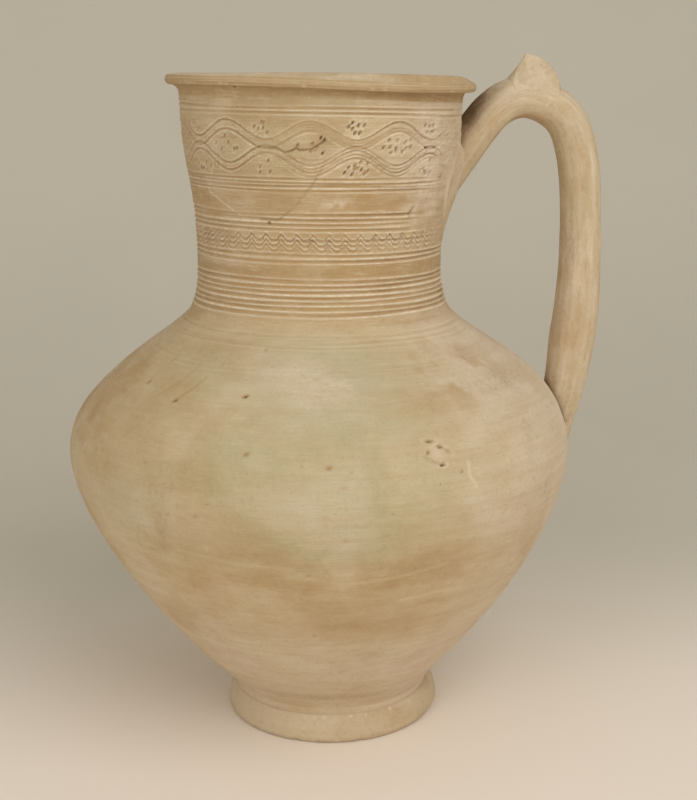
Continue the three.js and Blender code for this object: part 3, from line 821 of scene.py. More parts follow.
def neck_and_sherd():
    """The neck with its lip, and the sherd that was broken out of it, on one grid that is shared out."""
    low, high = split(neck_line, SHERD_TIP)
    bore_line = neck_line - NECK_WALL * outward(neck_line)
    bore_line[0] = (NECK_BASE_RADIUS - NECK_WALL, NECK_FOOT)
    bore_high, bore_low = split(np.vstack([mouth_line, bore_line[-2::-1]]), SHERD_TIP)
    parts = [even(low, NECK_STEP), even(high, NECK_STEP), even(lip_line, NECK_STEP)]
    parts += [even(bore_high, INNER_STEP), even(bore_low, INNER_STEP)]
    section = np.vstack([parts[0], *(part[1:] for part in parts[1:])])
    ends = np.cumsum([len(part) - 1 for part in parts])
    tip_out, mouth_row, crest_row, tip_in, last = ends
    turn = neck_turns(section[:, 1])

    wall = slice(0, mouth_row + 1)
    lip = slice(mouth_row + 1, crest_row + 1)
    outer = slice(0, crest_row + 1)
    inside = slice(crest_row + 1, last + 1)
    base = turned(section, turn, 0)
    height = section[:, 1:]
    front = from_angle(turn, 0)

    crack = break_distance(turn[outer], height[outer])
    within = np.zeros(crack.shape, bool)
    within[tip_out:, : SHERD_COLUMNS + 1] = True
    left_side = front[outer] < (LEFT_BREAK[2][1] + RIGHT_BREAK[2][1]) / 2
    seam = np.where(left_side, 0.14, -0.3) * hill(crack, 0.4) * (1 - ramp(255, 268, height[outer]))
    marks = np.zeros(turn.shape)
    marks[wall] = neck_relief(turn[wall], height[wall])
    top, edge, under = lip_zones(section[lip])
    marks[lip] = 0.09 * np.sin(height[lip] * 5.2 + 0.6 * np.sin(np.radians(turn[lip]) * 4)) * edge
    marks[outer] += seam

    relief = marks.copy()
    relief[outer] += 0.5 * hand_waves(base[outer], height[outer])
    relief[wall] += 0.18 * cloud(base[wall], 2.8, 91) * band(height[wall], 255, 258, 279, 282)
    rough = band(front[wall], 18, 42, 100, 125) * band(height[wall], 228, 238, 282, 286)
    relief[wall] += 0.24 * cloud(base[wall], 5.5, 93) * rough
    chips = chipped(turn[lip], section[lip])
    relief[lip] -= 0.4 * chips
    spiral = 0.3 * np.sin(2 * np.pi * height[inside] / 8 + np.radians(turn[inside]))
    relief[inside] += spiral * (1 - ramp(MOUTH - 12, MOUTH, height[inside]))

    looks = vessel_colours(turn, height, base, marks)
    on_sherd = np.zeros(turn.shape)
    on_sherd[outer] = ramp(-1.2, 1.2, np.where(within, crack, -crack))
    right = band(front[lip], 0, 28, 110, 140)
    looks["green"] = 0.4 * on_sherd
    looks["pink"] = unit(looks["pink"] * (1 - on_sherd) + 0.4 * hill(front + 60, 24))
    looks["pink"][lip] = (looks["pink"][lip] + 0.5 * top) * (1 - 0.8 * right)
    looks["ochre"] = looks["ochre"] + 0.2 * on_sherd * ramp(253, 262, height)
    # On the underside, ochre and grime are painted shade; on the outer edge they are its darker colour.
    looks["ochre"][lip] += 0.7 * edge + 0.5 * under + 0.8 * right
    looks["grime"][lip] += 0.3 * edge + 0.4 * under
    looks["chalk"][lip] = 0.25 * top * (1 - right) + chips
    points = settle(turned(section, turn, relief))
    flow = wiped_round(base)
    traits = {**shares(looks), **mark_shade_and_highlight(marks, MARK_DEPTH)}

    neck, sherd = Piece(), Piece()
    numbers = neck.add(points, flow, **traits)
    sherd.add(points, flow, **traits)
    own = np.r_[0 : SHERD_COLUMNS + 1]
    rest = np.r_[SHERD_COLUMNS : numbers.shape[1], 0]
    around = closed(numbers)
    neck.sheet(around[: tip_out + 1], 0.62, 1)
    neck.sheet(numbers[tip_out : crest_row + 1][:, rest], 0.24, 0.6)
    neck.sheet(numbers[crest_row : tip_in + 1][:, rest], 0.14, 0.22)
    neck.sheet(around[tip_in : last + 1], 0.05, 0.12)
    neck.stitch(around[last], around[0], 0, 0.01)
    sherd.sheet(numbers[tip_out : crest_row + 1][:, own], 0.3, 1)
    sherd.sheet(numbers[crest_row : tip_in + 1][:, own], 0.05, 0.28)
    mouth_in = crest_row + int(np.argmin(np.abs(section[crest_row : tip_in + 1, 1] - MOUTH)))
    runs = (tip_out, mouth_row, tip_in, mouth_in), (mouth_row, crest_row, mouth_in, crest_row)
    for low, high, far_low, far_high in runs:
        climb, fall = np.arange(low, high + 1), np.arange(far_low, far_high - 1, -1)
        for column, near, far in ((0, climb, fall), (SHERD_COLUMNS, fall, climb)):
            sherd.stitch(numbers[near, column], numbers[far, column], 0.02, 0.03)
            neck.stitch(numbers[far, column], numbers[near, column], 0.02, 0.03)
    sherd.stitch(numbers[tip_in, own], numbers[tip_out, own], 0, 0.01)
    neck.stitch(numbers[tip_out, own], numbers[tip_in, own], 0.035, 0.045)
    neck.build("neck", "neck_clay")
    sherd.build("neck_sherd", "sherd_clay")


def foot_disc():
    """The disc foot, with string marks underneath from cutting it off the wheel."""
    piece = Piece()
    turn = columns(FOOT_COLUMNS)
    low, high = (FOOT_RADIUS, FOOT_EDGE), (FOOT_TOP_RADIUS, FOOT_TOP)
    edge = bezier([(FOOT_RADIUS - FOOT_EDGE, 0), (FOOT_RADIUS, 0), low], 8)
    side = bezier([low, (FOOT_RADIUS, FOOT_TOP - 4), (FOOT_TOP_RADIUS + 1, FOOT_TOP - 2.5), high], 24)
    section = np.vstack([(1, 0), (FOOT_RADIUS - FOOT_EDGE, 0), edge[1:], side[1:], (30, FOOT_TOP)])
    section = even(section, FOOT_STEP)
    radius, height = section[:, :1], section[:, 1:]
    base = turned(section, turn, 0)
    front = from_angle(turn, 0)
    string = np.hypot(base[..., 0] - 24, base[..., 1] + 30)
    under = ramp(0.1, 0.0, height) * (1 - ramp(FOOT_RADIUS - 7, FOOT_RADIUS - 4, radius))
    top_edge = hill(height - FOOT_TOP + 1.2, 0.8) * ramp(44, 46, radius)
    crumbs = top_edge * ramp(0.1, 0.9, cloud(base, 2.2, 7)) * hill(front - 18, 34)
    rubbed = hill(height - 1, 1.6) * ramp(44, 48, radius)
    marks = -0.22 * under * (0.5 + 0.5 * np.sin(string * 2.6 + 0.8 * grain(base, 12, 5)))
    marks = marks + 0.12 * crumbs - rubbed * 0.3 * ramp(0.3, 0.9, cloud(base, 5, 9))
    marks = marks - 0.35 * ramp(0.75, 1.0, grain(base, 2.6, 10)) * ramp(2, 4, height)
    bulge = FOOT_BULGE * hill(from_angle(turn, HANDLE_SIDE), 55) * ramp(40, 46, radius)
    uneven = bulge + 0.3 * grain(base, 22, 8) + 0.06 * grain(base, 6, 3)
    points = turned(section, turn, marks + uneven * ramp(0.2, 3, height))
    points[..., 2] = np.maximum(points[..., 2], 0)
    points[..., 0] += FOOT_OFFSET
    looks = {
        "pink": 0.75 + 0.25 * cloud(base, 20, 4),
        "ochre": 0.15 + 0.45 * ramp(0, 0.8, cloud(base, 14, 6)),
        "grime": 0.05 + 0.5 * under + 0.3 * rubbed,
        "chalk": 0.5 * rubbed * ramp(0.2, 0.7, cloud(base, 3, 19)) * hill(front - 30, 30),
    }
    numbers = closed(piece.add(points, wiped_round(base), **looks, **mark_shade_and_highlight(marks, 0.6)))
    middle = piece.add(np.array([[FOOT_OFFSET, 0, 0.1], [FOOT_OFFSET, 0, FOOT_TOP]]), (0, 0, 0), grime=0.8)
    piece.sheet(numbers, 0.1, 1)
    piece.stitch(middle[:1], numbers[0], 0, 0.04)
    piece.stitch(numbers[-1], middle[1:], 0.05, 0.09)
    piece.build("foot_disc", "foot_clay")


# The handle and what is luted round it

HANDLE_PATH = (
    (57.5, 253.8), (59.6, 256.5), (80, 283.8), (93.8, 288.3), (110.5, 280.3),
    (117.7, 265), (121.6, 219), (119, 175.3), (113.6, 145), (107, 132.5),
)
BAR = 9.0  # half its thickness at the neck and over the crown
BAR_LOW = 10.5  # down the lower leg
BAR_TAIL = 8.9  # and at its tail
BAR_OVAL = 1.06  # wider than it is deep
BAR_SQUARE = 2.35  # power of its rounded square section
BAR_LENGTH = 330  # about, for the wiping that runs along it
BAR_RINGS = 300
BAR_SIDES = 84
BAR_PITS = ((100.5, -9, 287), (118.9, -9.5, 247.2))
BAR_SMALL_PITS = 18
BAR_SCAR = (102.3, -9, 285.4)


def smooth_path(points, count):
    """A centripetal Catmull-Rom path through points, as evenly spaced points."""
    knots = np.array(points, float)
    knots = np.vstack([2 * knots[0] - knots[1], knots, 2 * knots[-1] - knots[-2]])
    sides = np.diff(knots, axis=0)
    at = np.r_[0, np.cumsum(np.sqrt(np.linalg.norm(sides, axis=1)))]
    rate = sides / np.diff(at)[:, None]
    wide = (knots[2:] - knots[:-2]) / (at[2:] - at[:-2])[:, None]
    slope = rate[:-1] - wide + rate[1:]
    line = []
    for i in range(len(points) - 1):
        run = at[i + 2] - at[i + 1]
        start, end = knots[i + 1], knots[i + 2]
        line.append(bezier([start, start + slope[i] * run / 3, end - slope[i + 1] * run / 3, end], 40)[:-1])
    return spaced(np.vstack([*line, knots[-2]]), count)


def superellipse(turn, power):
    """Cosine and sine, for a rounded square in place of a circle."""
    cosine, sine = np.cos(turn), np.sin(turn)
    reach = (np.abs(cosine) ** power + np.abs(sine) ** power) ** (-1 / power)
    return cosine * reach, sine * reach


bar_path = smooth_path(HANDLE_PATH, BAR_RINGS)
bar_along = directions(bar_path)
bar_share = np.linspace(0, 1, BAR_RINGS)
bar_radius = BAR + (BAR_LOW - BAR) * ramp(0.5, 0.8, bar_share)
bar_radius += (BAR_TAIL - BAR_LOW) * ramp(0.76, 0.94, bar_share)
BAR_TURN = np.linspace(0, 2 * np.pi, BAR_SIDES, endpoint=False)


def bar_points(share, grown, turn=BAR_TURN):
    """Rings of the bar at shares of its length. Turn 0 is the side that the fingers close on."""
    path, along = between(share, bar_share, bar_path), between(share, bar_share, bar_along)
    inward, across = superellipse(turn, BAR_SQUARE)
    radius = np.interp(share, bar_share, bar_radius)[:, None] + grown
    x = path[:, :1] + along[:, 1:] * radius * inward
    z = path[:, 1:] - along[:, :1] * radius * inward
    return np.stack([x, radius * BAR_OVAL * across, z], -1)


def off_skin(points):
    """Millimetres that points lie outside the vessel's skin, level with it."""
    x, y, z = np.moveaxis(points, -1, 0)
    return np.hypot(x - sway(z), y) - outside(z)


def landed(points, direction, depth):
    """Points moved along a direction until they lie at a depth under the vessel's skin."""
    near, far = np.zeros(points.shape[:-1]), np.full(points.shape[:-1], LANDING_REACH)
    for _ in range(LANDING_HALVINGS):
        half = (near + far) / 2
        out = off_skin(points + half[..., None] * direction) > -depth
        near, far = np.where(out, half, near), np.where(out, far, half)
    return points + near[..., None] * direction


ROOT_ROW, TAIL_ROW = 30, 282  # rings just clear of the neck and of the shoulder
LANDING_STEPS = 8  # rings from those into the wall
LANDING_DEPTH = 2.5  # of the bar's ends, under the vessel's skin
LANDING_REACH = 40.0  # further than any ring has to go to get there
LANDING_HALVINGS = 24  # of that reach, to find the skin


def upright(vector):
    """A direction in the plane of the handle."""
    return np.array([vector[0], 0, vector[1]])


def bar_relief(points, share, turn):
    """Marks of wiping along the bar, dents and a scar beside the thumb rest."""
    marks = 0.025 * np.sin(9 * turn + 2.2 * np.sin(share * 6))
    marks = marks + 0.02 * np.sin(17 * turn + 3 * np.sin(share * 9 + 1))
    facet = 0.22 * np.sin(3 * turn + 1.4 * np.sin(share * 5)) * ramp(0.05, 0.2, share)
    dents = 0.3 * grain(points, 16, 12) + 0.1 * grain(points, 5, 13)
    chance = np.random.default_rng(9)
    pits = [*BAR_PITS]
    for _ in range(BAR_SMALL_PITS):
        ring, side = chance.integers(0, len(points)), chance.integers(0, BAR_SIDES)
        pits.append(points[ring, side])
    for pit in pits:
        marks = marks - 0.4 * hill(np.linalg.norm(points - pit, axis=-1), 0.6)
    scar = hill(np.linalg.norm(points - BAR_SCAR, axis=-1), 3.4)
    return facet + dents, marks + 0.22 * scar * (cloud(points, 2.4, 18) - 0.4)


def handle():
    """The bar, from its root in the neck to its tail on the shoulder."""
    piece = Piece()
    rows = np.arange(ROOT_ROW, TAIL_ROW + 1)
    plain = bar_points(bar_share[rows], 0)
    turn = BAR_TURN[None, :]
    slow, marks = bar_relief(plain, bar_share[rows, None], turn)
    points = bar_points(bar_share[rows], slow + marks)
    steps = np.linspace(0, 1, LANDING_STEPS + 1)[1:, None, None]
    root = landed(points[0], -upright(bar_along[ROOT_ROW]), LANDING_DEPTH)
    tail = landed(points[-1], upright(bar_along[TAIL_ROW]), LANDING_DEPTH)
    points = np.concatenate([
        (points[0] + (root - points[0]) * steps)[::-1],
        points,
        points[-1] + (tail - points[-1]) * steps,
    ])
    marks = np.pad(marks, ((LANDING_STEPS, LANDING_STEPS), (0, 0)), mode="edge")
    along = np.linspace(0, BAR_LENGTH, len(points))[:, None]
    flow = np.stack(np.broadcast_arrays(10 * np.cos(turn), 10 * np.sin(turn), 0.07 * along), -1)
    inward, at_tail = np.cos(turn), points[..., 2] < NECK_FOOT
    # Painted shade: shade darkens the bar's upper flank under the lip and beside the neck, corner darkens the
    # bar where it nears the wall; both go into grime and the dark of the marks.
    shade = ramp(-0.05, -0.75, inward) * (1 - ramp(68, 88, points[..., 0])) * ramp(240, 262, points[..., 2])
    gap = off_skin(points) * np.where(at_tail, 2, 1)
    corner = 0.4 * (1 - ramp(1, 8, gap)) + 0.6 * (1 - ramp(0.5, 3, gap))
    corner = corner * np.where(at_tail, ramp(-0.6, -0.2, inward), ramp(0.1, -0.4, inward))
    painted_shade = np.maximum(shade, corner)
    looks = {
        "pink": 0.75 + 0.4 * cloud(points, 30, 14),
        "ochre": 0.12 + 0.5 * cloud(flow * (1, 1, 3), 5, 15),
        "green": 0.15 + 0.4 * cloud(points, 40, 16),
        "grime": 0.15 + 0.35 * cloud(points, 16, 17) + painted_shade,
    }
    # The painted shade is added to the marks' shade as well.
    worn = mark_shade_and_highlight(marks, 0.9)
    worn["hollow"] = worn["hollow"] + painted_shade
    numbers = closed(piece.add(points, flow, **shares({**looks, **worn})))
    ends = piece.add(np.stack([root.mean(0), tail.mean(0)]), (0, 0, 0))
    piece.sheet(numbers, 0.06, 1)
    piece.stitch(ends[:1], numbers[0], 0, 0.02)
    piece.stitch(numbers[-1], ends[1:], 0.03, 0.05)
    piece.build("handle", "handle_clay")


THUMB_INNER = ((79, 287), (84.5, 296.5), (89.2, 302.5), (91.6, 307.2))  # outline on the vessel's side
THUMB_OUTER = ((109.8, 289), (106.8, 302.3), (98.3, 306.7), (92.6, 307.4))
THUMB_START, THUMB_END = 0.15, 0.31  # shares of the bar that it is pinched from
THUMB_HEIGHT = 10
THUMB_THIN, THUMB_THICK = 4.4, 5.5  # half its thickness on the vessel's side and at the crease
THUMB_LEAN = 0.45  # how much lower it was pressed behind, on the vessel's side
THUMB_CREASE = ((101.3, 302.8), (104.8, 298.8), (107.4, 291.2))
THUMB_PITS = ((94.2, 300.5), (98.5, 301.6))
FLAT_TURN, FACE_TURN = 0.9, 1.65  # radians round the bar that its top and its faces are taken from
BURIED_TURN = 1.9  # and that its buried edge reaches
BURIED_DEPTH = 2.0  # how far inside the bar its underside lies
THUMB_ROWS, THUMB_COLUMNS = 170, 97


def thumb_rest():
    """A slab pinched up from the crown, with faces that run on from the bar's and a crease down one side."""
    piece = Piece()
    outline = np.vstack([bezier(THUMB_INNER), bezier(THUMB_OUTER)[::-1]])
    share = np.linspace(THUMB_START, THUMB_END, THUMB_ROWS)
    turn = np.linspace(-BURIED_TURN, BURIED_TURN, THUMB_COLUMNS)
    side, sign = np.abs(turn), np.sign(turn)
    side_turn, face_turn = np.pi + turn, np.pi + sign * FACE_TURN
    ridge = bar_points(share, 0, np.array([np.pi]))
    rise = np.interp(ridge[..., 0], *outline.T) - ridge[..., 2]
    raised = unit(rise / THUMB_HEIGHT)
    buried = np.maximum(ramp(0.2, -0.8, rise), ramp(FACE_TURN, BURIED_TURN, side))
    slow = bar_relief(bar_points(share, 0, side_turn), share[:, None], side_turn)[0]
    points = bar_points(share, slow - 0.7 * buried, side_turn)
    half = THUMB_THIN + (THUMB_THICK - THUMB_THIN) * ramp(90, 105, ridge[..., 0])
    flat = unit(side / FLAT_TURN)
    behind = (1 - sign * flat) / 2
    pressed = 1 - THUMB_LEAN * behind * (1 - ramp(91, 100, ridge[..., 0]))
    top_z = ridge[..., 2] + rise * pressed - 0.5 * flat**4
    top = np.stack(np.broadcast_arrays(ridge[..., 0], -sign * half * flat, top_z), -1)
    slow = bar_relief(bar_points(share, 0, face_turn), share[:, None], face_turn)[0]
    foot = bar_points(share, slow, face_turn)
    face = unit((side - FLAT_TURN) / (FACE_TURN - FLAT_TURN))
    face = np.stack([face, 1 - (1 - face) ** 1.7, face], -1)
    slab = top + (foot - top) * face
    points[..., 2] += np.maximum(rise, 0) * pressed * (1 - face[:, 0])
    points += (slab - points) * (ramp(0, 0.45 * THUMB_HEIGHT, rise) * (side < FACE_TURN))[..., None]
    x, y, z = np.moveaxis(points, -1, 0)
    crease = np.array(THUMB_CREASE)
    past = x - np.interp(-z, -crease[:, 1], crease[:, 0])
    dents = 0.25 * grain(points, 9, 23) + 0.08 * grain(points, 3, 24)
    for pit_x, pit_z in THUMB_PITS:
        dents = dents - 0.8 * hill(np.hypot(x - pit_x, z - pit_z), 0.7)
    thinned = 1 - 0.07 * np.maximum(past, 0) * raised
    points[..., 1] = y * thinned + np.sign(y) * dents * raised * ramp(0.3, 0.9, side)
    looks = {
        "pink": 0.8 + 0.4 * cloud(points, 14, 25),
        "ochre": 0.25 + 0.4 * cloud(points, 9, 26),
        "grime": 0.35 + 0.25 * cloud(points, 6, 27),
        # Painted shade in the pits and dents, and a painted highlight down the lower end of the crease.
        "hollow": unit(-dents - 0.25) * raised,
        "crest": 0.7 * hill(past, 0.5) * ramp(0.1, 0.4, raised) * ramp(296, 291, z),
    }
    skin = piece.add(points, points * (0.3, 1, 1), **shares(looks))
    under = piece.add(bar_points(share, -BURIED_DEPTH, side_turn), (0, 0, 0))
    piece.sheet(skin, 0.2, 1)
    piece.sheet(under[:, ::-1], 0.05, 0.18)
    walls = (under[0], skin[0]), (skin[-1], under[-1]), (skin[:, 0], under[:, 0]), (under[:, -1], skin[:, -1])
    for i, (near, far) in enumerate(walls):
        piece.sheet(np.stack([near, far]), 0.01 * i, 0.01 * i + 0.008)
    piece.build("thumb_rest", "thumb_clay")


def on_skin(angle, height, lift):
    """Points at angles and heights on the vessel's skin, lifted off it."""
    slope = np.arctan2(outside(height + 0.5) - outside(height - 0.5), 1.0)
    radius = outside(height) + lift * np.cos(slope)
    turn = np.radians(angle)
    level = height - lift * np.sin(slope)
    return settle(np.stack([radius * np.sin(turn), -radius * np.cos(turn), level], -1))


CRACK = 1.3  # depth of the crack between a luting's collar and the clay smeared beyond it
COLLAR_ROWS, SMEAR_ROWS = 20, 33
LUTING_RIM_DEPTH, LUTING_ROOT_DEPTH = 1.4, 2.0  # of its buried outer and inner edges, under the vessel's skin


def luting(node, row, direction, climb, flare, bend, proud, reach, seed):
    """Clay worked round the bar: a collar that flares from the bar on to the wall, and beyond a crack the
    torn edge of clay that was smeared over the wall."""
    piece = Piece()
    ring = bar_points(bar_share[[row]], 0)[0]
    corner = landed(ring, direction, 0)
    angle = np.degrees(np.arctan2(corner[:, 0] - sway(corner[:, 2]), -corner[:, 1]))
    height = corner[:, 2]
    arc = np.radians(angle - HANDLE_SIDE) * outside(height)
    away = np.stack([arc - arc.mean(), height - height.mean()], 1)
    away /= np.linalg.norm(away, axis=1, keepdims=True)
    ragged = 1 + 0.12 * np.sin(5 * BAR_TURN + seed) + 0.08 * np.sin(11 * BAR_TURN + 2 * seed)
    collar = np.linspace(0, 1, COLLAR_ROWS)[:, None]
    smear = np.linspace(0, 1, SMEAR_ROWS + 1)[1:, None] ** 1.5
    run = np.vstack([flare * ragged * collar - 0.5 * (1 - collar), flare * ragged + reach * smear])
    skin_angle = angle + np.degrees(away[:, 0] * run / outside(height))
    skin_height = height + away[:, 1] * run
    spot = on_skin(skin_angle, skin_height, 0 * run)
    torn = ramp(0, 0.5, proud)
    # narrow and cracked shape the crack and also place painted shade in it and in the crevice of a thin
    # collar.
    narrow = (1 - ramp(2, 6, climb)) * (0.4 + 0.6 * collar)
    beyond = (1 - ramp(0.01, 0.1, smear)) * np.ones_like(climb)
    cracked = torn * np.vstack([np.maximum(ramp(0.7, 0.95, collar), narrow), beyond])
    edge = torn * np.vstack([0 * collar, ramp(0.0, 0.06, smear) * (1 - smear) ** 2])
    lift = proud * (0.8 + 0.6 * grain(spot, 4, seed + 3)) * edge - CRACK * cracked
    lumps = cloud(spot[COLLAR_ROWS:], 6, seed) * np.sin(np.pi * smear) * torn
    lift[COLLAR_ROWS:] += 0.3 * (lumps - smear)
    rise = climb * np.vstack([(1 - collar) ** bend, 0 * beyond])
    skin = on_skin(skin_angle, skin_height, lift) - direction * rise[..., None]
    rim = on_skin(skin_angle[-1], skin_height[-1], -LUTING_RIM_DEPTH)
    under = np.stack([rim, landed(ring, direction, LUTING_ROOT_DEPTH)])
    section = np.concatenate([skin, under])
    looks = {
        "pink": 0.75 + 0.4 * cloud(section, 18, seed + 5),
        "ochre": 0.15 + 0.4 * cloud(section, 12, seed + 6),
        "grime": 0.15 + 0.3 * cloud(section, 8, seed + 7),
    }
    # Painted shade in the crack; the torn edge pale with chalk, with a painted highlight on it.
    for name, amount in (("chalk", 0.6 * edge), ("hollow", 0.9 * cracked), ("crest", edge**2)):
        looks[name] = np.pad(amount, ((0, len(under)), (0, 0)))
    numbers = closed(piece.add(section, section * (0.4, 1, 0.6), **shares(looks)))
    numbers = np.vstack([numbers, numbers[:1]])
    flipped = direction @ upright(bar_along[row]) < 0
    piece.sheet(numbers[::-1] if flipped else numbers, 0, 1)
    piece.build(node, "luting_clay")


def lutings():
    below, above = ramp(0.3, 1, np.cos(BAR_TURN)), ramp(0.3, 1, -np.cos(BAR_TURN))
    upper = ramp(-0.3, 0.9, -np.cos(BAR_TURN))
    luting(
        "upper_luting", ROOT_ROW, -upright(bar_along[ROOT_ROW]), climb=11 - 10.5 * upper,
        flare=11 + 5 * below - 10.2 * upper, bend=2 + 0 * upper,
        proud=1.1 * (1 - ramp(0, 0.4, below)), reach=12 - 6 * (below + above), seed=3,
    )
    luting(
        "lower_luting", TAIL_ROW, upright(bar_along[TAIL_ROW]), climb=1.4 + 17 * above,
        flare=0.7 + 14 * above, bend=2 - 1.05 * above,
        proud=0.4 * (1 - ramp(0, 0.4, above)), reach=3 + 4 * above, seed=5,
    )


# Clay


def srgb(red, green, blue):
    """A colour as seen on a screen, as the linear colour that a shader takes."""
    return (*(((c / 255 + 0.055) / 1.055) ** 2.4 for c in (red, green, blue)), 1)


BUFF = srgb(200, 182, 147)
BUFF_DARK = srgb(189, 166, 128)
GREEN = srgb(173, 164, 127)
OCHRE = srgb(174, 142, 97)
PINK = srgb(211, 194, 171)
# GRIME_AND_SHADE is dirt that also paints shade; HOLLOW_SHADE paints shade in marks, cracks and corners;
# PALE_WEAR_AND_HIGHLIGHT is a pale tone that also paints highlights.
GRIME_AND_SHADE = srgb(158, 133, 96)
HOLLOW_SHADE = srgb(88, 62, 36)
PALE_WEAR_AND_HIGHLIGHT = srgb(232, 216, 188)
CHALK = srgb(222, 204, 180)
SPECK = srgb(128, 104, 74)


class Wiring:
    """Short words for wiring one material."""

    def __init__(self, name):
        self.material = bpy.data.materials.new(name)
        self.material.use_nodes = True
        self.nodes = self.material.node_tree.nodes
        self.links = self.material.node_tree.links
        self.shader = self.nodes["Principled BSDF"]

    def feed(self, socket, value):
        if isinstance(value, bpy.types.NodeSocket):
            self.links.new(value, socket)
        else:
            socket.default_value = value

    def node(self, kind, inputs, **settings):
        node = self.nodes.new(kind)
        for name, value in settings.items():
            setattr(node, name, value)
        for name, value in inputs.items():
            self.feed(node.inputs[name], value)
        return node

    def trait(self, name):
        return self.node("ShaderNodeAttribute", {}, attribute_name=name).outputs["Fac"]

    def noise(self, vector, scale, detail=4, roughness=0.55):
        inputs = {"Vector": vector, "Scale": scale, "Detail": detail, "Roughness": roughness}
        return self.node("ShaderNodeTexNoise", inputs).outputs["Fac"]

    def remap(self, value, low, high, to_low=0.0, to_high=1.0):
        inputs = {"Value": value, "From Min": low, "From Max": high, "To Min": to_low, "To Max": to_high}
        return self.node("ShaderNodeMapRange", inputs, interpolation_type="SMOOTHSTEP").outputs["Result"]

    def math(self, operation, first, second):
        return self.node("ShaderNodeMath", {0: first, 1: second}, operation=operation).outputs["Value"]

    def blend(self, amount, first, second):
        return self.node("ShaderNodeMix", {0: amount, 6: first, 7: second}, data_type="RGBA").outputs[2]

    def tint_where(self, colour, trait, tint, noise, low, high, least, most):
        """A colour with a tint over it where a trait is, from least to most of it as the noise rises."""
        amount = self.math("MULTIPLY", self.trait(trait), self.remap(noise, low, high, least, most))
        return self.blend(amount, colour, tint)


def clay(name, streak, rough):
    """Unglazed clay: mottled colour, wiping streaks, dark grit, grime with painted shade, painted shade in
    the hollows, and pale worn edges with painted highlights.
    """
    w = Wiring(name)
    spot = w.node("ShaderNodeTexCoord", {}).outputs["Object"]
    flow = w.node("ShaderNodeAttribute", {}, attribute_name="flow").outputs["Vector"]
    wide = w.node("ShaderNodeMapping", {"Vector": spot, "Scale": (0.5, 0.5, 1)}).outputs["Vector"]
    smudge = w.noise(wide, 55, 6, 0.6)
    mottle = w.noise(spot, 95, 6, 0.6)
    fine = w.noise(spot, 420, 5, 0.65)
    grit = w.noise(spot, 1100, 3, 0.6)
    streaks = w.noise(flow, 0.4, 7, 0.7)
    hair = w.noise(flow, 1.7, 4, 0.7)

    colour = w.blend(w.remap(smudge, 0.36, 0.64), BUFF, BUFF_DARK)
    for trait, tint, strength in (("green", GREEN, 0.85), ("pink", PINK, 0.7), ("ochre", OCHRE, 0.95)):
        colour = w.tint_where(colour, trait, tint, mottle, 0.25, 0.7, 0.55 * strength, strength)
    colour = w.tint_where(colour, "chalk", CHALK, fine, 0.3, 0.65, 0.35, 0.95)
    # Grime, which also carries painted shade.
    colour = w.tint_where(colour, "grime", GRIME_AND_SHADE, fine, 0.35, 0.7, 0.25, 0.8)
    for noise, low, high, most, tint in (
        (streaks, 0.4, 0.66, 0.2 * streak, OCHRE),
        (hair, 0.53, 0.72, 0.13 * streak, PALE_WEAR_AND_HIGHLIGHT),
        (hair, 0.45, 0.28, 0.13 * streak, GRIME_AND_SHADE),
        (fine, 0.52, 0.7, 0.2, GRIME_AND_SHADE),
        (fine, 0.46, 0.3, 0.07, PALE_WEAR_AND_HIGHLIGHT),
        (grit, 0.64, 0.74, 0.6, SPECK),
    ):
        colour = w.blend(w.remap(noise, low, high, 0, most), colour, tint)
    # Painted highlight on crests and burrs, then painted shade in hollows, cracks and corners.
    colour = w.tint_where(colour, "crest", PALE_WEAR_AND_HIGHLIGHT, fine, 0.3, 0.7, 0.4, 0.9)
    colour = w.tint_where(colour, "hollow", HOLLOW_SHADE, mottle, 0.3, 0.7, 0.45, 0.95)
    w.feed(w.shader.inputs["Base Color"], colour)

    w.feed(w.shader.inputs["Roughness"], w.remap(mottle, 0.3, 0.7, rough - 0.08, rough + 0.08))
    w.shader.inputs["Specular IOR Level"].default_value = 0.28
    lumps = w.math("ADD", w.math("MULTIPLY", fine, 0.7), w.math("MULTIPLY", hair, 0.5 * streak))
    lumps = w.math("ADD", lumps, w.math("MULTIPLY", grit, 0.25))
    bump = w.node("ShaderNodeBump", {"Height": lumps, "Strength": 0.5, "Distance": 0.0006})
    w.feed(w.shader.inputs["Normal"], bump.outputs["Normal"])
    return w.material


FINISHES = {  # how streaky and how rough each clay is
    "foot_clay": (0.5, 0.86),
    "body_clay": (1.0, 0.86),
    "shoulder_clay": (1.0, 0.86),
    "neck_clay": (2.5, 0.66),
    "sherd_clay": (2.7, 0.66),
    "handle_clay": (1.8, 0.8),
    "thumb_clay": (0.4, 0.8),
    "luting_clay": (0.4, 0.86),
}
CLAYS = {name: clay(name, *finish) for name, finish in FINISHES.items()}

foot_disc()
lower_body()
shoulder()
neck_and_sherd()
handle()
thumb_rest()
lutings()


# Floor, light and camera, in metres

LIGHT_COLOUR = (1, 0.99, 0.97)
WORLD_STRENGTH = 0.54


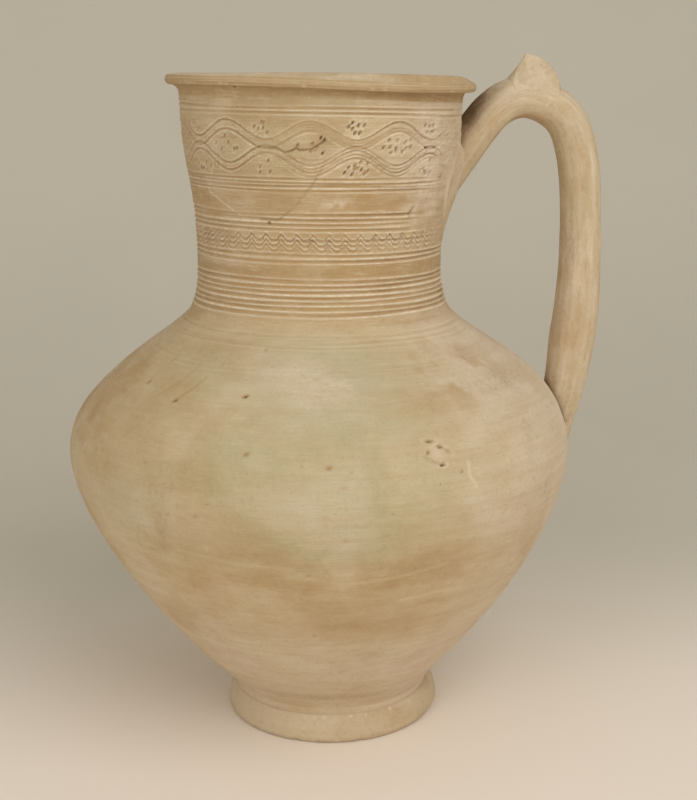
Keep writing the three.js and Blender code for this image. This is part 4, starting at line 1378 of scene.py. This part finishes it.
def sweep():
    """A pale floor that curves up into a backdrop, its paper painted darker towards the back."""
    near, back, bend, high, half = -6.0, 1.0, 0.85, 2.6, 6.0
    line = np.vstack([(near, 0), bezier([(back - bend, 0), (back, 0), (back, bend)], 24), (back, high)])
    line = even(line, 0.06)
    points = np.array([(x, y, z) for y, z in line for x in (-half, half)])
    mesh = bpy.data.meshes.new("sweep")
    count = len(line) - 1
    mesh.from_pydata(points.tolist(), [], [(2 * i, 2 * i + 1, 2 * i + 3, 2 * i + 2) for i in range(count)])
    mesh.shade_smooth()
    w = Wiring("paper")
    spot = w.node("ShaderNodeTexCoord", {}).outputs["Object"]
    place = w.node("ShaderNodeSeparateXYZ", {"Vector": spot}).outputs
    # Paper darker from the floor in front to the backdrop: partly its colour, partly painted shade where less
    # light reaches the back.
    colour = w.blend(w.remap(place["Y"], -0.07, 0.26), srgb(243, 231, 217), srgb(204, 197, 180))
    colour = w.blend(w.remap(w.noise(spot, 3), 0.35, 0.65, 0, 0.1), colour, srgb(226, 214, 198))
    w.feed(w.shader.inputs["Base Color"], colour)
    w.shader.inputs["Roughness"].default_value = 0.95
    w.shader.inputs["Specular IOR Level"].default_value = 0.1
    mesh.materials.append(w.material)
    floor = bpy.data.objects.new("sweep", mesh)
    bpy.context.scene.collection.objects.link(floor)


def area_light(name, place, aim, size, power):
    light = bpy.data.lights.new(name, "AREA")
    light.shape = "DISK"
    light.size = size
    light.energy = power
    light.color = LIGHT_COLOUR
    lamp = bpy.data.objects.new(name, light)
    lamp.location = place
    lamp.rotation_euler = (Vector(aim) - Vector(place)).to_track_quat("-Z", "Y").to_euler()
    bpy.context.scene.collection.objects.link(lamp)


def lights():
    area_light("key", place=(0.58, -1.0, 1.0), aim=(0, -0.2, 0.05), size=1.3, power=8.8)
    area_light("fill", place=(-0.8, -1.25, 0.6), aim=(0, 0, 0.12), size=0.9, power=4.8)
    world = bpy.data.worlds.new("studio")
    world.use_nodes = True
    glow = world.node_tree.nodes["Background"].inputs
    glow["Color"].default_value = (*LIGHT_COLOUR, 1)
    glow["Strength"].default_value = WORLD_STRENGTH
    bpy.context.scene.world = world


CAMERA_PLACE = (-0.04226, -0.58994, 0.28398)
CAMERA_HEADING, CAMERA_PITCH, CAMERA_ROLL = 5.396, 12.775, 0.145  # degrees: to the right, down, and left
CAMERA_LENS, CAMERA_SENSOR = 58.308, 36


def camera():
    data = bpy.data.cameras.new("camera")
    data.lens = CAMERA_LENS
    data.sensor_width = CAMERA_SENSOR
    eye = bpy.data.objects.new("camera", data)
    turn = Matrix.Rotation(math.radians(-CAMERA_HEADING), 4, "Z")
    tip = Matrix.Rotation(math.radians(90 - CAMERA_PITCH), 4, "X")
    roll = Matrix.Rotation(math.radians(CAMERA_ROLL), 4, "Z")
    eye.matrix_world = Matrix.Translation(CAMERA_PLACE) @ turn @ tip @ roll
    bpy.context.scene.collection.objects.link(eye)
    bpy.context.scene.camera = eye


sweep()
lights()
camera()
bpy.context.scene.view_settings.view_transform = "Standard"
